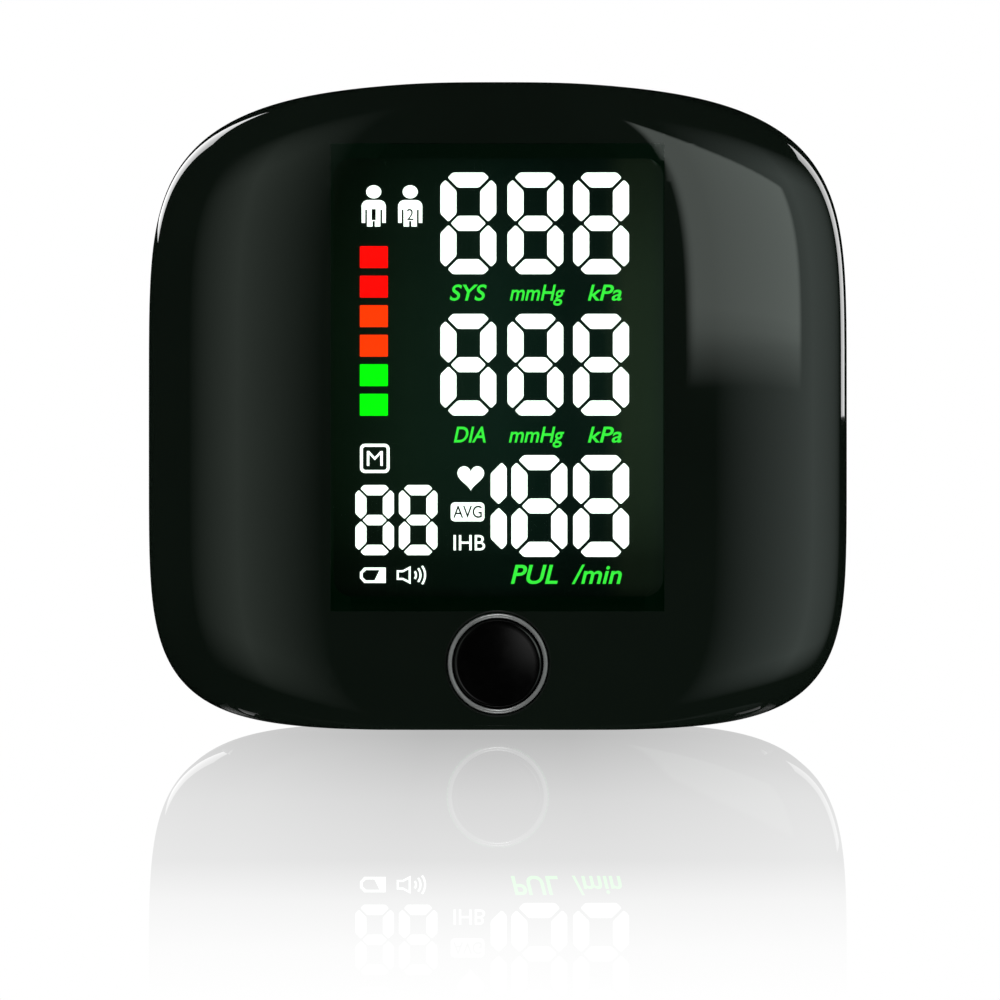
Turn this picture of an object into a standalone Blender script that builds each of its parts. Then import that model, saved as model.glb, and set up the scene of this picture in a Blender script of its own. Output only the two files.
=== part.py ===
"""Upper arm blood pressure monitor, standing upright with its display facing -Y.

The housing is a front cover and a rear cover that meet at a parting line. Behind the front cover sit the
LED display and the start button. The rear cover holds the battery compartment, the main board, the air
pump, the exhaust valve and the air socket for the cuff hose. Lengths here are millimetres until solid()
turns them into metres. +X is the viewer's right, +Y is the back and +Z is up, from the middle of the base.
"""

import math

import bmesh
import bpy
from mathutils import Vector

MM = 0.001
GAP = 0.3  # air between pieces that touch or nest

# Housing outline, seen from the front
HALF_WIDTH = 62.0
WIDEST_Z = 52.0  # height of the widest place above the base
RISE = 62.2  # from the widest place to the top
DROP = 52.25  # from the widest place to the bottom, before the base is cut flat
TOP_POWERS = (3.0, 5.3)  # of the superellipse above the widest place, across and up
BOTTOM_POWERS = (5.0, 5.2)  # and below it
OUTLINE_POINTS = 48

# Housing depth
FRONT_Y = -25.0
REAR_Y = 24.5
PARTING_Y = -5.0
WALL = 2.2
SIDE_ROUNDING = (0.42, 16.0)  # share of the width that is flat in front, and the depth of the rounding
TOP_ROUNDING = (0.93, 5.0)
BOTTOM_ROUNDING = (0.965, 3.0)
REAR_ROUNDING = (0.839, 0.905, 0.885, 9.0)  # shares of width, rise and drop that are flat, and the depth
OUTER_STEPS = 6
INNER_STEPS = 4
LIP_LENGTH = 1.7
LIP_THICKNESS = 1.0
INNER_FRONT = FRONT_Y + WALL
INNER_REAR = REAR_Y - WALL

# Start button and its switch
BUTTON_Z = 11.7
RING_OUTER = 8.8
RING_INNER = 8.05
RING_FRONT = -25.5
RING_DEPTH = 3.3
BUTTON_RADIUS = 7.75
BUTTON_FACE = -25.3
SWITCH_FRONT = -19.0
SWITCH_HALF = 3.1

# Display
DISPLAY_HALF = 29.7
DISPLAY_LOW = 22.0
DISPLAY_HIGH = 101.0
DISPLAY_CORNER = 5.0
DIGIT_SIZE = (9.83, 17.9)
DIGIT_LEFT = -10.1
DIGIT_TOP = 98.1
DIGIT_PITCH = 11.68
ROW_PITCH = 24.89
PULSE_LEFT = 2.4  # the bottom row stands closer, after a narrow leading 1
ONE_LEFT = -1.2
SMALL_TOP = 43.1
SMALL_DIGIT = 0.69  # size of the memory digits against the large ones
BAR_LEFT = -24.3
BAR_TOP = 85.2
WELL_MARGIN = 0.4
FILM_Y = (-22.1, -21.7)
LIGHT_BOX_Y = (-21.4, -15.7)
DISPLAY_BOARD_Y = (-15.4, -13.8)
DISPLAY_POSTS = ((-22.0, 12.0), (22.0, 12.0), (-20.0, 105.5), (20.0, 105.5))

# Main board
BOARD_Y = (0.0, 1.6)
BOARD_LOW = (-50.0, 23.0)
BOARD_HIGH = (57.5, 74.0)
BOARD_POSTS = ((-25.0, 30.0), (25.0, 66.0))

# Battery compartment
CELL_RADIUS = 7.1
CELL_LENGTH = 49.5
NUB_LENGTH = 1.0
CELL_PITCH = 14.8
CELL_Y = 14.4
SPRING_LENGTH = 4.7
PLATE_THICKNESS = 0.4
TRAY_HALF = 30.2
TRAY_LOW = 15.5
TRAY_HIGH = 73.0
TRAY_FLOOR_Y = 7.0
TRAY_WALL = 1.5
DOOR_HALF = 32.0
DOOR_LOW = 13.4
DOOR_HIGH = 75.0
DOOR_THICKNESS = 2.0
DOOR_AXIS = (REAR_Y - DOOR_THICKNESS / 2, DOOR_LOW + DOOR_THICKNESS / 2)
DOOR_PIN_RADIUS = 0.5
DOOR_PIN_LENGTH = 1.2
LEDGE_SIDE = 2.6
LEDGE_END = 1.9
LEDGE_DEPTH = 1.7
NOTCH_RADIUS = 6.5
NOTCH_DEPTH = 1.4
LATCH_SLOT_X = 8.0
LATCH_LENGTH = 9.0

# Air pump, lying along X in the top of the housing
PUMP_Y = 8.5
PUMP_Z = 93.5
PUMP_RADIUS = 13.5
MOTOR_RADIUS = 12.0
CHAMBER_CIRCLE = 7.2  # radius of the circle that the three pump chambers stand on

# Air socket, valve, sensor and the tubes between them
SOCKET_Y = 12.0
SOCKET_Z = 40.0
SOCKET_BORE = 3.5
BARB_RADIUS = 1.5
TUBE_OUTER = 2.5
TUBE_INNER = 1.8
VALVE_X = -47.0
VALVE_BASE = 70.0
VALVE_TOP = 82.0
SENSOR_AT = (-39.0, 31.0)
PUMP_TUBE_X = -37.0
SOCKET_TUBE_X = -46.0
SENSOR_TUBE_X = -38.0

# Charging port and speaker
PORT_Y = 3.5
PORT_Z = 45.0
PORT_HOLE = (1.9, 4.8)  # half its depth and half its height
SPEAKER_AT = (43.0, 45.0)
SPEAKER_RADIUS = 7.5
SLOT_PITCH = 2.8
SLOT_HALF = 0.65

# Fasteners and feet
CASE_SCREWS = ((-43.0, 16.0), (43.0, 16.0), (-40.0, 97.0), (40.0, 97.0))
SCREW_SEAT_Y = 4.0
CASE_BOSS_RADIUS = 3.75
FEET = ((-43.0, 27.0), (43.0, 27.0), (-42.0, 84.0), (42.0, 84.0))
FOOT_RADIUS = 4.0
FOOT_FACE = 25.5
FOOT_SUNK = 0.8

TURNS = {"X": (0.0, math.pi / 2, 0.0), "Y": (-math.pi / 2, 0.0, 0.0), "Z": (0.0, 0.0, 0.0)}


def clear_scene():
    for obj in list(bpy.data.objects):
        bpy.data.objects.remove(obj, do_unlink=True)


def look(name, colour, roughness, metallic=0.0):
    """A plain Principled material."""
    material = bpy.data.materials.new(name)
    material.use_nodes = True
    shader = material.node_tree.nodes["Principled BSDF"]
    shader.inputs["Base Color"].default_value = (*colour, 1.0)
    shader.inputs["Roughness"].default_value = roughness
    shader.inputs["Metallic"].default_value = metallic
    material.diffuse_color = (*colour, 1.0)
    return material


def solid(name, bm, material, at=(0.0, 0.0, 0.0), axis="Z"):
    """An object from a bmesh in millimetres, its own Z turned to the axis, its origin at the point."""
    bmesh.ops.recalc_face_normals(bm, faces=bm.faces)
    bmesh.ops.scale(bm, vec=(MM, MM, MM), verts=bm.verts)
    mesh = bpy.data.meshes.new(name)
    bm.to_mesh(mesh)
    bm.free()
    mesh.shade_smooth()
    mesh.set_sharp_from_angle(angle=math.radians(35))
    if material:
        mesh.materials.append(material)
    obj = bpy.data.objects.new(name, mesh)
    obj.location = Vector(at) * MM
    obj.rotation_euler = TURNS[axis]
    bpy.context.scene.collection.objects.link(obj)
    return obj


def block(name, material, low, high, bevel=0.0):
    """A box between two corners, with its origin in its middle."""
    low, high = Vector(low), Vector(high)
    bm = bmesh.new()
    bmesh.ops.create_cube(bm, size=1.0)
    bmesh.ops.scale(bm, vec=high - low, verts=bm.verts)
    obj = solid(name, bm, material, (low + high) / 2)
    if bevel:
        rounding = obj.modifiers.new("edges", "BEVEL")
        rounding.width = bevel * MM
        rounding.segments = 2
        rounding.limit_method = "ANGLE"
    return obj


def plate(name, material, low, high, depth, corner):
    """A plate facing -Y, with round corners; low and high are (x, z), depth is its front and back."""
    centre = ((low[0] + high[0]) / 2, (depth[0] + depth[1]) / 2, (low[1] + high[1]) / 2)
    half_x = (high[0] - low[0]) / 2 - corner
    half_z = (high[1] - low[1]) / 2 - corner
    half_y = (depth[1] - depth[0]) / 2
    corners = ((half_x, half_z), (-half_x, half_z), (-half_x, -half_z), (half_x, -half_z))
    outline = []
    for quarter, (x, z) in enumerate(corners):
        for step in range(6):
            angle = math.pi / 2 * (quarter + step / 5)
            outline.append((x + corner * math.cos(angle), z + corner * math.sin(angle)))
    bm = loft([[(x, y, z) for x, z in outline] for y in (-half_y, half_y)])
    return solid(name, bm, material, centre)


def turned(name, material, profile, at, axis="Z", steps=20):
    """A body turned from (radius, along) points, where along runs from the point in the axis's direction."""
    bm = bmesh.new()
    verts = [bm.verts.new((radius, 0.0, along)) for radius, along in profile]
    pairs = list(zip(verts, verts[1:]))
    if profile[0][0] > 0 and profile[-1][0] > 0:
        pairs.append((verts[-1], verts[0]))
    edges = [bm.edges.new(pair) for pair in pairs]
    bmesh.ops.spin(
        bm,
        geom=verts + edges,
        cent=(0, 0, 0),
        axis=(0, 0, 1),
        angle=math.tau,
        steps=steps,
        use_merge=True,
    )
    bmesh.ops.remove_doubles(bm, verts=bm.verts, dist=1e-4)
    return solid(name, bm, material, at, axis)


def rod(name, material, radius, start, end, axis, across, steps=20):
    """A plain cylinder along the axis; across holds its other two coordinates in X, Y, Z order."""
    at = list(across)
    at.insert("XYZ".index(axis), start)
    length = end - start
    profile = ((0.0, 0.0), (radius, 0.0), (radius, length), (0.0, length))
    return turned(name, material, profile, at, axis, steps)


def pipe(name, material, outer, inner, start, end, axis, across, steps=20):
    """A cylinder with a hole right through it."""
    at = list(across)
    at.insert("XYZ".index(axis), start)
    length = end - start
    profile = ((outer, 0.0), (outer, length), (inner, length), (inner, 0.0))
    return turned(name, material, profile, at, axis, steps)


def post(name, radius, bore, root, bottom, end, across):
    """A round post along +Y whose blind screw hole runs from the bottom to its free end."""
    height, depth = end - root, bottom - root
    profile = ((0, 0), (radius, 0), (radius, height), (bore, height), (bore, depth), (0, depth))
    return turned(name, None, profile, (across[0], root, across[1]), "Y", 16)


def combine(target, helper, operation):
    helper.name = f"{target.name}_{operation.lower()}_{len(target.modifiers)}"
    helper.hide_render = True
    helper.display_type = "WIRE"
    modifier = target.modifiers.new(helper.name, "BOOLEAN")
    modifier.operation = operation
    modifier.object = helper
    return target


def cut(target, helper):
    return combine(target, helper, "DIFFERENCE")


def add(target, helper):
    return combine(target, helper, "UNION")


def loft(rings):
    """A bmesh whose skin joins the rings in turn, with a flat cap on the first and the last."""
    bm = bmesh.new()
    rows = [[bm.verts.new(point) for point in ring] for ring in rings]
    for row, following in zip(rows, rows[1:]):
        for i in range(len(row)):
            j = (i + 1) % len(row)
            bm.faces.new((row[i], row[j], following[j], following[i]))
    bm.faces.new(rows[0])
    bm.faces.new(rows[-1])
    return bm


def smooth_path(points, steps):
    """Catmull-Rom spline through the points, with this many steps between each two."""
    points = [Vector(point) for point in points]
    points = [2 * points[0] - points[1], *points, 2 * points[-1] - points[-2]]
    path = []
    for a, b, c, d in zip(points, points[1:], points[2:], points[3:]):
        for step in range(steps):
            t = step / steps
            square = (2 * a - 5 * b + 4 * c - d) * t**2
            cube = (3 * b - a - 3 * c + d) * t**3
            path.append((2 * b + (c - a) * t + square + cube) / 2)
    return [*path, points[-2]]


def rings_along(path, radius, sides):
    """Circles square to the path, carried along it without twist."""
    across = (path[1] - path[0]).orthogonal().normalized()
    rings = []
    for i, point in enumerate(path):
        ahead = (path[min(i + 1, len(path) - 1)] - path[max(i - 1, 0)]).normalized()
        across = (across - ahead * across.dot(ahead)).normalized()
        side = ahead.cross(across)
        turns = [math.tau * k / sides for k in range(sides)]
        rings.append([point + radius * (math.cos(a) * across + math.sin(a) * side) for a in turns])
    return rings


def hose(name, material, points, steps=3, sides=8):
    """A hollow air tube with open ends along a smooth path."""
    path = smooth_path([Vector(point) - Vector(points[0]) for point in points], steps)
    outer = rings_along(path, TUBE_OUTER, sides)
    inner = rings_along(path, TUBE_INNER, sides)
    bm = bmesh.new()
    rows = [[bm.verts.new(point) for point in ring] for ring in outer + inner[::-1]]
    for row, following in zip(rows, rows[1:] + rows[:1]):
        for i in range(sides):
            j = (i + 1) % sides
            bm.faces.new((row[i], row[j], following[j], following[i]))
    return solid(name, bm, material, points[0])


def coil(name, material, radii, length, wire, turns, at, up=1.0, sides=5, steps=8):
    """A round-wire spring along Z whose radius runs from the first value to the second."""
    count = int(turns * steps)
    run = length - 2 * wire
    path = []
    for i in range(count + 1):
        share = i / count
        radius = radii[0] + (radii[1] - radii[0]) * share
        angle = math.tau * turns * share
        height = up * (wire + run * share)
        path.append(Vector((radius * math.cos(angle), radius * math.sin(angle), height)))
    return solid(name, loft(rings_along(path, wire, sides)), material, at)


def swell(share):
    """Quarter-ellipse growth from 0 at a flat face to 1 where the side is square to it."""
    return math.sqrt(1 - (1 - min(max(share, 0.0), 1.0)) ** 2)


def grown(flat, share):
    return flat + (1 - flat) * swell(share)


def section(y, inset=0.0):
    """The housing's outline at this depth, drawn in by the inset, as 3-D points."""
    ahead = y - (FRONT_Y + inset)
    behind = (REAR_Y - inset) - y
    rear_share = behind / (REAR_ROUNDING[3] - inset)
    wide = min(
        grown(SIDE_ROUNDING[0], ahead / (SIDE_ROUNDING[1] - inset)),
        grown(REAR_ROUNDING[0], rear_share),
    )
    high = min(
        grown(TOP_ROUNDING[0], ahead / (TOP_ROUNDING[1] - inset)),
        grown(REAR_ROUNDING[1], rear_share),
    )
    low = min(
        grown(BOTTOM_ROUNDING[0], ahead / (BOTTOM_ROUNDING[1] - min(inset, WALL))),
        grown(REAR_ROUNDING[2], rear_share),
    )
    points = []
    for i in range(OUTLINE_POINTS):
        angle = math.tau * i / OUTLINE_POINTS
        c, s = math.cos(angle), math.sin(angle)
        powers, height = (TOP_POWERS, RISE * high) if s >= 0 else (BOTTOM_POWERS, DROP * low)
        scale_in = inset * (high if s >= 0 else low)
        x = (HALF_WIDTH - inset) * wide * math.copysign(abs(c) ** (2 / powers[0]), c)
        z = WIDEST_Z + (height - scale_in) * math.copysign(abs(s) ** (2 / powers[1]), s)
        points.append((x, y, max(z, inset)))
    return points


def rounding_depths(start, depth, steps):
    """Depths of the rings over a rounding, closest together next to the flat face."""
    return [start + depth * (1 - math.cos(math.pi / 2 * i / steps)) for i in range(steps + 1)]


def make_front_cover(paint):
    edge = PARTING_Y - GAP / 2
    side = SIDE_ROUNDING[1]
    outside = [section(y) for y in rounding_depths(FRONT_Y, side, OUTER_STEPS)] + [section(edge)]
    inside = [section(y, WALL) for y in rounding_depths(INNER_FRONT, side - WALL, INNER_STEPS)]
    inside.append(section(edge, WALL))
    cover = solid("front_cover", loft(outside + inside[::-1]), paint)
    for x, z in CASE_SCREWS:
        add(cover, post("boss", 3.2, 1.5, -21.3, -18.0, PARTING_Y - GAP, (x, z)))
    for x, z in DISPLAY_POSTS:
        add(cover, post("post", 2.4, 1.2, INNER_FRONT - 0.5, -21.0, LIGHT_BOX_Y[1], (x, z)))
    hole = rod(
        "button_hole", None, RING_OUTER + GAP, FRONT_Y - 2, INNER_FRONT + 1, "Y", (0, BUTTON_Z), 36
    )
    cut(cover, hole)


def make_rear_cover(paint):
    edge = PARTING_Y + GAP / 2
    lip_end = edge - LIP_LENGTH
    lip_out = WALL + GAP
    lip_in = lip_out + LIP_THICKNESS
    rounding = REAR_ROUNDING[3]
    outside = [section(2 * REAR_Y - y) for y in rounding_depths(REAR_Y, rounding, OUTER_STEPS)]
    outside.append(section(edge))
    lip = [section(edge, lip_out), section(lip_end, lip_out), section(lip_end, lip_in)]
    lip.append(section(edge + 1.0, lip_in))
    depths = rounding_depths(INNER_REAR, rounding - WALL, INNER_STEPS)
    inside = [section(2 * INNER_REAR - y, WALL) for y in depths]
    inside.append(section(edge + 2.0, WALL))
    cover = solid("rear_cover", loft(outside + lip + inside[::-1]), paint)

    wall = TRAY_WALL
    sunk = INNER_REAR + 0.5
    low = (-TRAY_HALF - wall, TRAY_FLOOR_Y - wall, TRAY_LOW - wall)
    high = (TRAY_HALF + wall, sunk, TRAY_HIGH + wall)
    add(cover, block("tray", None, low, high))
    low = (-DOOR_HALF - LEDGE_SIDE, INNER_REAR - LEDGE_DEPTH, DOOR_LOW - LEDGE_END)
    high = (DOOR_HALF + LEDGE_SIDE, sunk, DOOR_HIGH + LEDGE_END)
    add(cover, block("ledge", None, low, high))
    for x, z in CASE_SCREWS:
        add(cover, rod("boss", None, CASE_BOSS_RADIUS, edge + GAP, sunk, "Y", (x, z)))
    for x, z in BOARD_POSTS:
        add(cover, rod("post", None, 2.6, BOARD_Y[1] + GAP, TRAY_FLOOR_Y - 0.5, "Y", (x, z), 16))

    behind = REAR_Y + 2
    cells = block("cells", None, (-TRAY_HALF, TRAY_FLOOR_Y, TRAY_LOW), (TRAY_HALF, behind, TRAY_HIGH))
    cut(cover, cells)
    low = (-DOOR_HALF - GAP, REAR_Y - DOOR_THICKNESS - GAP, DOOR_LOW - GAP)
    cut(cover, block("door_seat", None, low, (DOOR_HALF + GAP, behind, DOOR_HIGH + GAP)))
    reach = DOOR_HALF + DOOR_PIN_LENGTH + 0.4
    pins = rod("pin_holes", None, DOOR_PIN_RADIUS + 0.2, -reach, reach, "X", DOOR_AXIS, 12)
    cut(cover, pins)
    profile = ((0, 0), (NOTCH_RADIUS, 0), (NOTCH_RADIUS + 1.0, 3.0), (0, 3.0))
    cut(cover, turned("finger_notch", None, profile, (0, REAR_Y - NOTCH_DEPTH, DOOR_HIGH), "Y"))
    well = SCREW_SEAT_Y + 7
    for x, z in CASE_SCREWS:
        profile = ((0, 0), (1.6, 0), (1.6, well), (2.9, well), (2.9, 34), (0, 34))
        cut(cover, turned("screw_hole", None, profile, (x, -7.0, z), "Y", 20))
    for x, z in BOARD_POSTS:
        pilot = rod("pilot", None, 1.3, BOARD_Y[1] - 1, TRAY_FLOOR_Y - 1.7, "Y", (x, z), 12)
        cut(cover, pilot)
    for x, z in FEET:
        cut(cover, rod("foot_seat", None, FOOT_RADIUS + GAP, REAR_Y - 1.1, behind, "Y", (x, z)))
    across = (SOCKET_Y, SOCKET_Z)
    cut(cover, rod("socket_hole", None, 5.8, -HALF_WIDTH - 3, -HALF_WIDTH + 5, "X", across))
    low = (HALF_WIDTH - 5, PORT_Y - PORT_HOLE[0], PORT_Z - PORT_HOLE[1])
    high = (HALF_WIDTH + 3, PORT_Y + PORT_HOLE[0], PORT_Z + PORT_HOLE[1])
    cut(cover, block("port_hole", None, low, high))
    for i in range(-2, 3):
        offset = SLOT_PITCH * i
        x = SPEAKER_AT[0] + offset
        half = math.sqrt((SPEAKER_RADIUS - 0.8) ** 2 - offset**2)
        low = (x - SLOT_HALF, INNER_REAR - 1, SPEAKER_AT[1] - half)
        high = (x + SLOT_HALF, behind, SPEAKER_AT[1] + half)
        cut(cover, block("slot", None, low, high))


def make_start_button(button_paint, ring_paint, switch_paint, plunger_paint):
    across = (0, BUTTON_Z)
    ring = (
        (RING_OUTER, 0.25),
        (RING_OUTER, RING_DEPTH),
        (RING_INNER, RING_DEPTH),
        (RING_INNER, 0.25),
        (RING_INNER + 0.2, 0.0),
        (RING_OUTER - 0.2, 0.0),
    )
    turned("button_ring", ring_paint, ring, (0, RING_FRONT, BUTTON_Z), "Y", 36)
    flange = RING_FRONT + RING_DEPTH + GAP - BUTTON_FACE
    end = SWITCH_FRONT - 0.9 - BUTTON_FACE
    cap = (
        (0, 0.35),
        (4.5, 0.2),
        (BUTTON_RADIUS - 0.4, 0.0),
        (BUTTON_RADIUS, 0.35),
        (BUTTON_RADIUS, flange),
        (8.55, flange),
        (8.55, flange + 0.8),
        (2.5, flange + 0.8),
        (2.5, end),
        (0, end),
    )
    turned("start_button", button_paint, cap, (0, BUTTON_FACE, BUTTON_Z), "Y", 32)
    low = (-SWITCH_HALF, SWITCH_FRONT, BUTTON_Z - SWITCH_HALF)
    high = (SWITCH_HALF, DISPLAY_BOARD_Y[0] - GAP, BUTTON_Z + SWITCH_HALF)
    body = block("switch_body", switch_paint, low, high, 0.3)
    cut(body, rod("plunger_hole", None, 2.0, SWITCH_FRONT - 1, SWITCH_FRONT + 2.0, "Y", across, 16))
    start = SWITCH_FRONT - 0.6
    rod("switch_plunger", plunger_paint, 1.7, start, SWITCH_FRONT + 1.0, "Y", across, 16)


def make_display(film_paint, box_paint, board_paint, connector_paint):
    low, high = (-DISPLAY_HALF, DISPLAY_LOW), (DISPLAY_HALF, DISPLAY_HIGH)
    plate("display_film", film_paint, low, high, FILM_Y, DISPLAY_CORNER)
    front, back = LIGHT_BOX_Y
    housing = plate("display_housing", box_paint, low, high, LIGHT_BOX_Y, DISPLAY_CORNER)

    def well(x, top, width, height):
        low = (x - WELL_MARGIN, front - 1, top - height - WELL_MARGIN)
        cut(housing, block("well", None, low, (x + width + WELL_MARGIN, back - 1.2, top + WELL_MARGIN)))

    width, height = DIGIT_SIZE
    columns = [DIGIT_LEFT + DIGIT_PITCH * i for i in range(3)]
    for row, lefts in enumerate((columns, columns, (PULSE_LEFT, columns[2]))):
        top = DIGIT_TOP - ROW_PITCH * row
        for left in lefts:
            well(left, top, width, height)
        well(DIGIT_LEFT, top - height - 1.8, 33.0, 3.2)
    well(ONE_LEFT, top - 1.0, 2.8, height - 2.0)
    for x in (BAR_LEFT - 0.8, BAR_LEFT + 6.9):
        well(x, SMALL_TOP, width * SMALL_DIGIT, height * SMALL_DIGIT)
    well(BAR_LEFT, BAR_TOP, 4.9, 29.9)
    front, back = DISPLAY_BOARD_Y
    board = block("display_board", board_paint, (-30.0, front, 3.5), (30.0, back, 108.5))
    for x, z in DISPLAY_POSTS:
        cut(board, rod("hole", None, 1.3, front - 1, back + 1, "Y", (x, z), 12))
    low, high = (-14.0, back + GAP, 45.0), (14.0, BOARD_Y[0] - GAP, 50.0)
    block("board_connector", connector_paint, low, high, 0.4)


def make_main_board(board_paint, chip_paint, sensor_paint):
    front, back = BOARD_Y
    low = (BOARD_LOW[0], front, BOARD_LOW[1])
    high = (BOARD_HIGH[0], back, BOARD_HIGH[1])
    board = block("main_board", board_paint, low, high)
    for x, z in BOARD_POSTS:
        cut(board, rod("hole", None, 1.3, front - 1, back + 1, "Y", (x, z), 12))
    low, high = (-8.0, front - GAP - 1.5, 55.0), (2.0, front - GAP, 65.0)
    block("controller_chip", chip_paint, low, high, 0.2)
    x, z = SENSOR_AT
    low, high = (x - 5, back + GAP, z - 5), (x + 5, 6.5, z + 5)
    sensor = block("pressure_sensor", sensor_paint, low, high, 0.4)
    add(sensor, rod("barb", None, BARB_RADIUS, 6.0, 10.5, "Y", (x, z), 16))


def make_pump(metal, plastic, rubber, steel):
    across = (PUMP_Y, PUMP_Z)
    inner = PUMP_RADIUS - 1.5
    profile = (
        (0, 0),
        (4.0, 0),
        (4.0, 1.0),
        (MOTOR_RADIUS - 1, 1.0),
        (MOTOR_RADIUS, 2.0),
        (MOTOR_RADIUS, 28.0),
        (0, 28.0),
    )
    motor = turned("pump_motor", metal, profile, (2.0, *across), "X", 20)
    cut(motor, rod("shaft_hole", None, 1.3, 1.0, 11.0, "X", across, 16))
    pipe("pump_sleeve", rubber, PUMP_RADIUS + 0.1, MOTOR_RADIUS + GAP, 5.0, 27.0, "X", across, 20)
    profile = (
        (PUMP_RADIUS, 0),
        (PUMP_RADIUS, 13.7),
        (4.4, 13.7),
        (4.4, 12.2),
        (inner, 12.2),
        (inner, 0),
    )
    turned("pump_housing", plastic, profile, (-12.0, *across), "X", 20)
    profile = ((0, 0), (4.2, 0), (4.2, 3.0), (1.0, 3.0), (1.0, 15.0), (0, 15.0))
    shaft = turned("pump_shaft", steel, profile, (-5.0, *across), "X")
    add(shaft, rod("crank_pin", None, 0.8, -8.0, -4.0, "X", (PUMP_Y, PUMP_Z + 2.2), 12))
    diaphragm = rod("pump_diaphragm", rubber, PUMP_RADIUS, -13.8, -12.3, "X", across, 20)
    for i in range(3):
        angle = math.tau * (i / 3 + 0.25)
        y = PUMP_Y + CHAMBER_CIRCLE * math.cos(angle)
        z = PUMP_Z + CHAMBER_CIRCLE * math.sin(angle)
        add(diaphragm, rod("chamber", None, 3.4, -13.0, -9.0, "X", (y, z), 16))
    profile = (
        (0, 0),
        (BARB_RADIUS, 0),
        (BARB_RADIUS, 6.0),
        (PUMP_RADIUS - 1, 6.0),
        (PUMP_RADIUS, 7.0),
        (PUMP_RADIUS, 11.6),
        (0, 11.6),
    )
    turned("pump_head", plastic, profile, (-25.7, *across), "X", 20)


def make_valve(body_paint, plunger_paint, steel):
    x, y = VALVE_X, SOCKET_Y
    body = block("valve_body", body_paint, (x - 6, y - 6, VALVE_BASE), (x + 6, y + 6, VALVE_TOP), 0.6)
    add(body, rod("barb", None, BARB_RADIUS, VALVE_BASE - 3.5, VALVE_BASE + 1, "Z", (x, y), 16))
    cut(body, rod("bore", None, 2.8, VALVE_BASE + 3, VALVE_TOP + 1, "Z", (x, y)))
    plunger = (
        (0, 0),
        (2.4, 0),
        (2.4, 8.0),
        (1.2, 8.0),
        (1.2, 13.0),
        (3.6, 13.0),
        (3.6, 14.2),
        (0, 14.2),
    )
    turned("valve_plunger", plunger_paint, plunger, (x, y, VALVE_BASE + 4.2), "Z", 16)
    coil("valve_spring", steel, (2.1, 2.1), 3.6, 0.3, 3, (x, y, VALVE_TOP + GAP))


def make_air_path(plastic, tube_paint):
    low, high = 54.0, 60.0
    y = SOCKET_Y
    manifold = block("air_manifold", plastic, (-50.5, y - 4, low), (-34.0, y + 4, high), 0.8)
    barbs = (
        (VALVE_X, high - 1, high + 4),
        (PUMP_TUBE_X, high - 1, high + 4),
        (SOCKET_TUBE_X, low - 4, low + 1),
        (SENSOR_TUBE_X, low - 4, low + 1),
    )
    for x, start, end in barbs:
        add(manifold, rod("barb", None, BARB_RADIUS, start, end, "Z", (x, y), 16))

    profile = (
        (SOCKET_BORE, 0.0),
        (5.2, 0.0),
        (5.5, 0.3),
        (5.5, 4.0),
        (6.8, 4.0),
        (6.8, 5.4),
        (5.5, 5.4),
        (5.5, 9.6),
        (BARB_RADIUS, 9.6),
        (BARB_RADIUS, 13.4),
        (0.7, 13.4),
        (0.7, 8.1),
        (SOCKET_BORE, 8.1),
    )
    turned("air_socket", plastic, profile, (-HALF_WIDTH + 0.3, y, SOCKET_Z), "X", 20)

    end = low - GAP
    x = SOCKET_TUBE_X
    route = (
        (-51.6, y, SOCKET_Z),
        (-48.6, y, SOCKET_Z),
        (x - 0.4, y, SOCKET_Z + 2.6),
        (x, y, SOCKET_Z + 7),
        (x, y, end),
    )
    hose("tube_socket", tube_paint, route)
    x, z = SENSOR_AT
    route = (
        (x, 7.0, z),
        (x, 9.8, z),
        (x + 0.2, y, z + 3.2),
        (SENSOR_TUBE_X, y, z + 9),
        (SENSOR_TUBE_X, y, end),
    )
    hose("tube_sensor", tube_paint, route)
    start = high + GAP
    hose("tube_valve", tube_paint, ((VALVE_X, y, start), (VALVE_X, y, VALVE_BASE - GAP)), 2)
    route = (
        (PUMP_TUBE_X, y, start),
        (PUMP_TUBE_X, y, 74),
        (-36, y - 1, 86),
        (-31, PUMP_Y, 92.6),
        (-25, PUMP_Y, PUMP_Z),
        (-20.2, PUMP_Y, PUMP_Z),
    )
    hose("tube_pump", tube_paint, route)


def make_sockets_and_speaker(steel, cone_paint):
    low = (HALF_WIDTH - 7.7, PORT_Y - 1.6, PORT_Z - 4.5)
    high = (HALF_WIDTH - 0.3, PORT_Y + 1.6, PORT_Z + 4.5)
    port = block("charging_port", steel, low, high, 0.5)
    sheet = 0.35
    mouth_low = (low[0] + 1.2, low[1] + sheet, low[2] + sheet)
    mouth_high = (high[0] + 1, high[1] - sheet, high[2] - sheet)
    cut(port, block("mouth", None, mouth_low, mouth_high, 0.3))
    tongue_low = (low[0] + 0.5, PORT_Y - 0.35, PORT_Z - 3.2)
    tongue_high = (high[0] - 1.2, PORT_Y + 0.35, PORT_Z + 3.2)
    add(port, block("tongue", None, tongue_low, tongue_high))
    x, z = SPEAKER_AT
    profile = (
        (0, 0),
        (4.0, 0),
        (4.0, 2.4),
        (6.0, 3.2),
        (SPEAKER_RADIUS, 4.6),
        (SPEAKER_RADIUS, 6.4),
        (6.6, 6.4),
        (3.0, 5.2),
        (0, 5.6),
    )
    turned("speaker", cone_paint, profile, (x, INNER_REAR - GAP - 6.4, z), "Y", 20)


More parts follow.
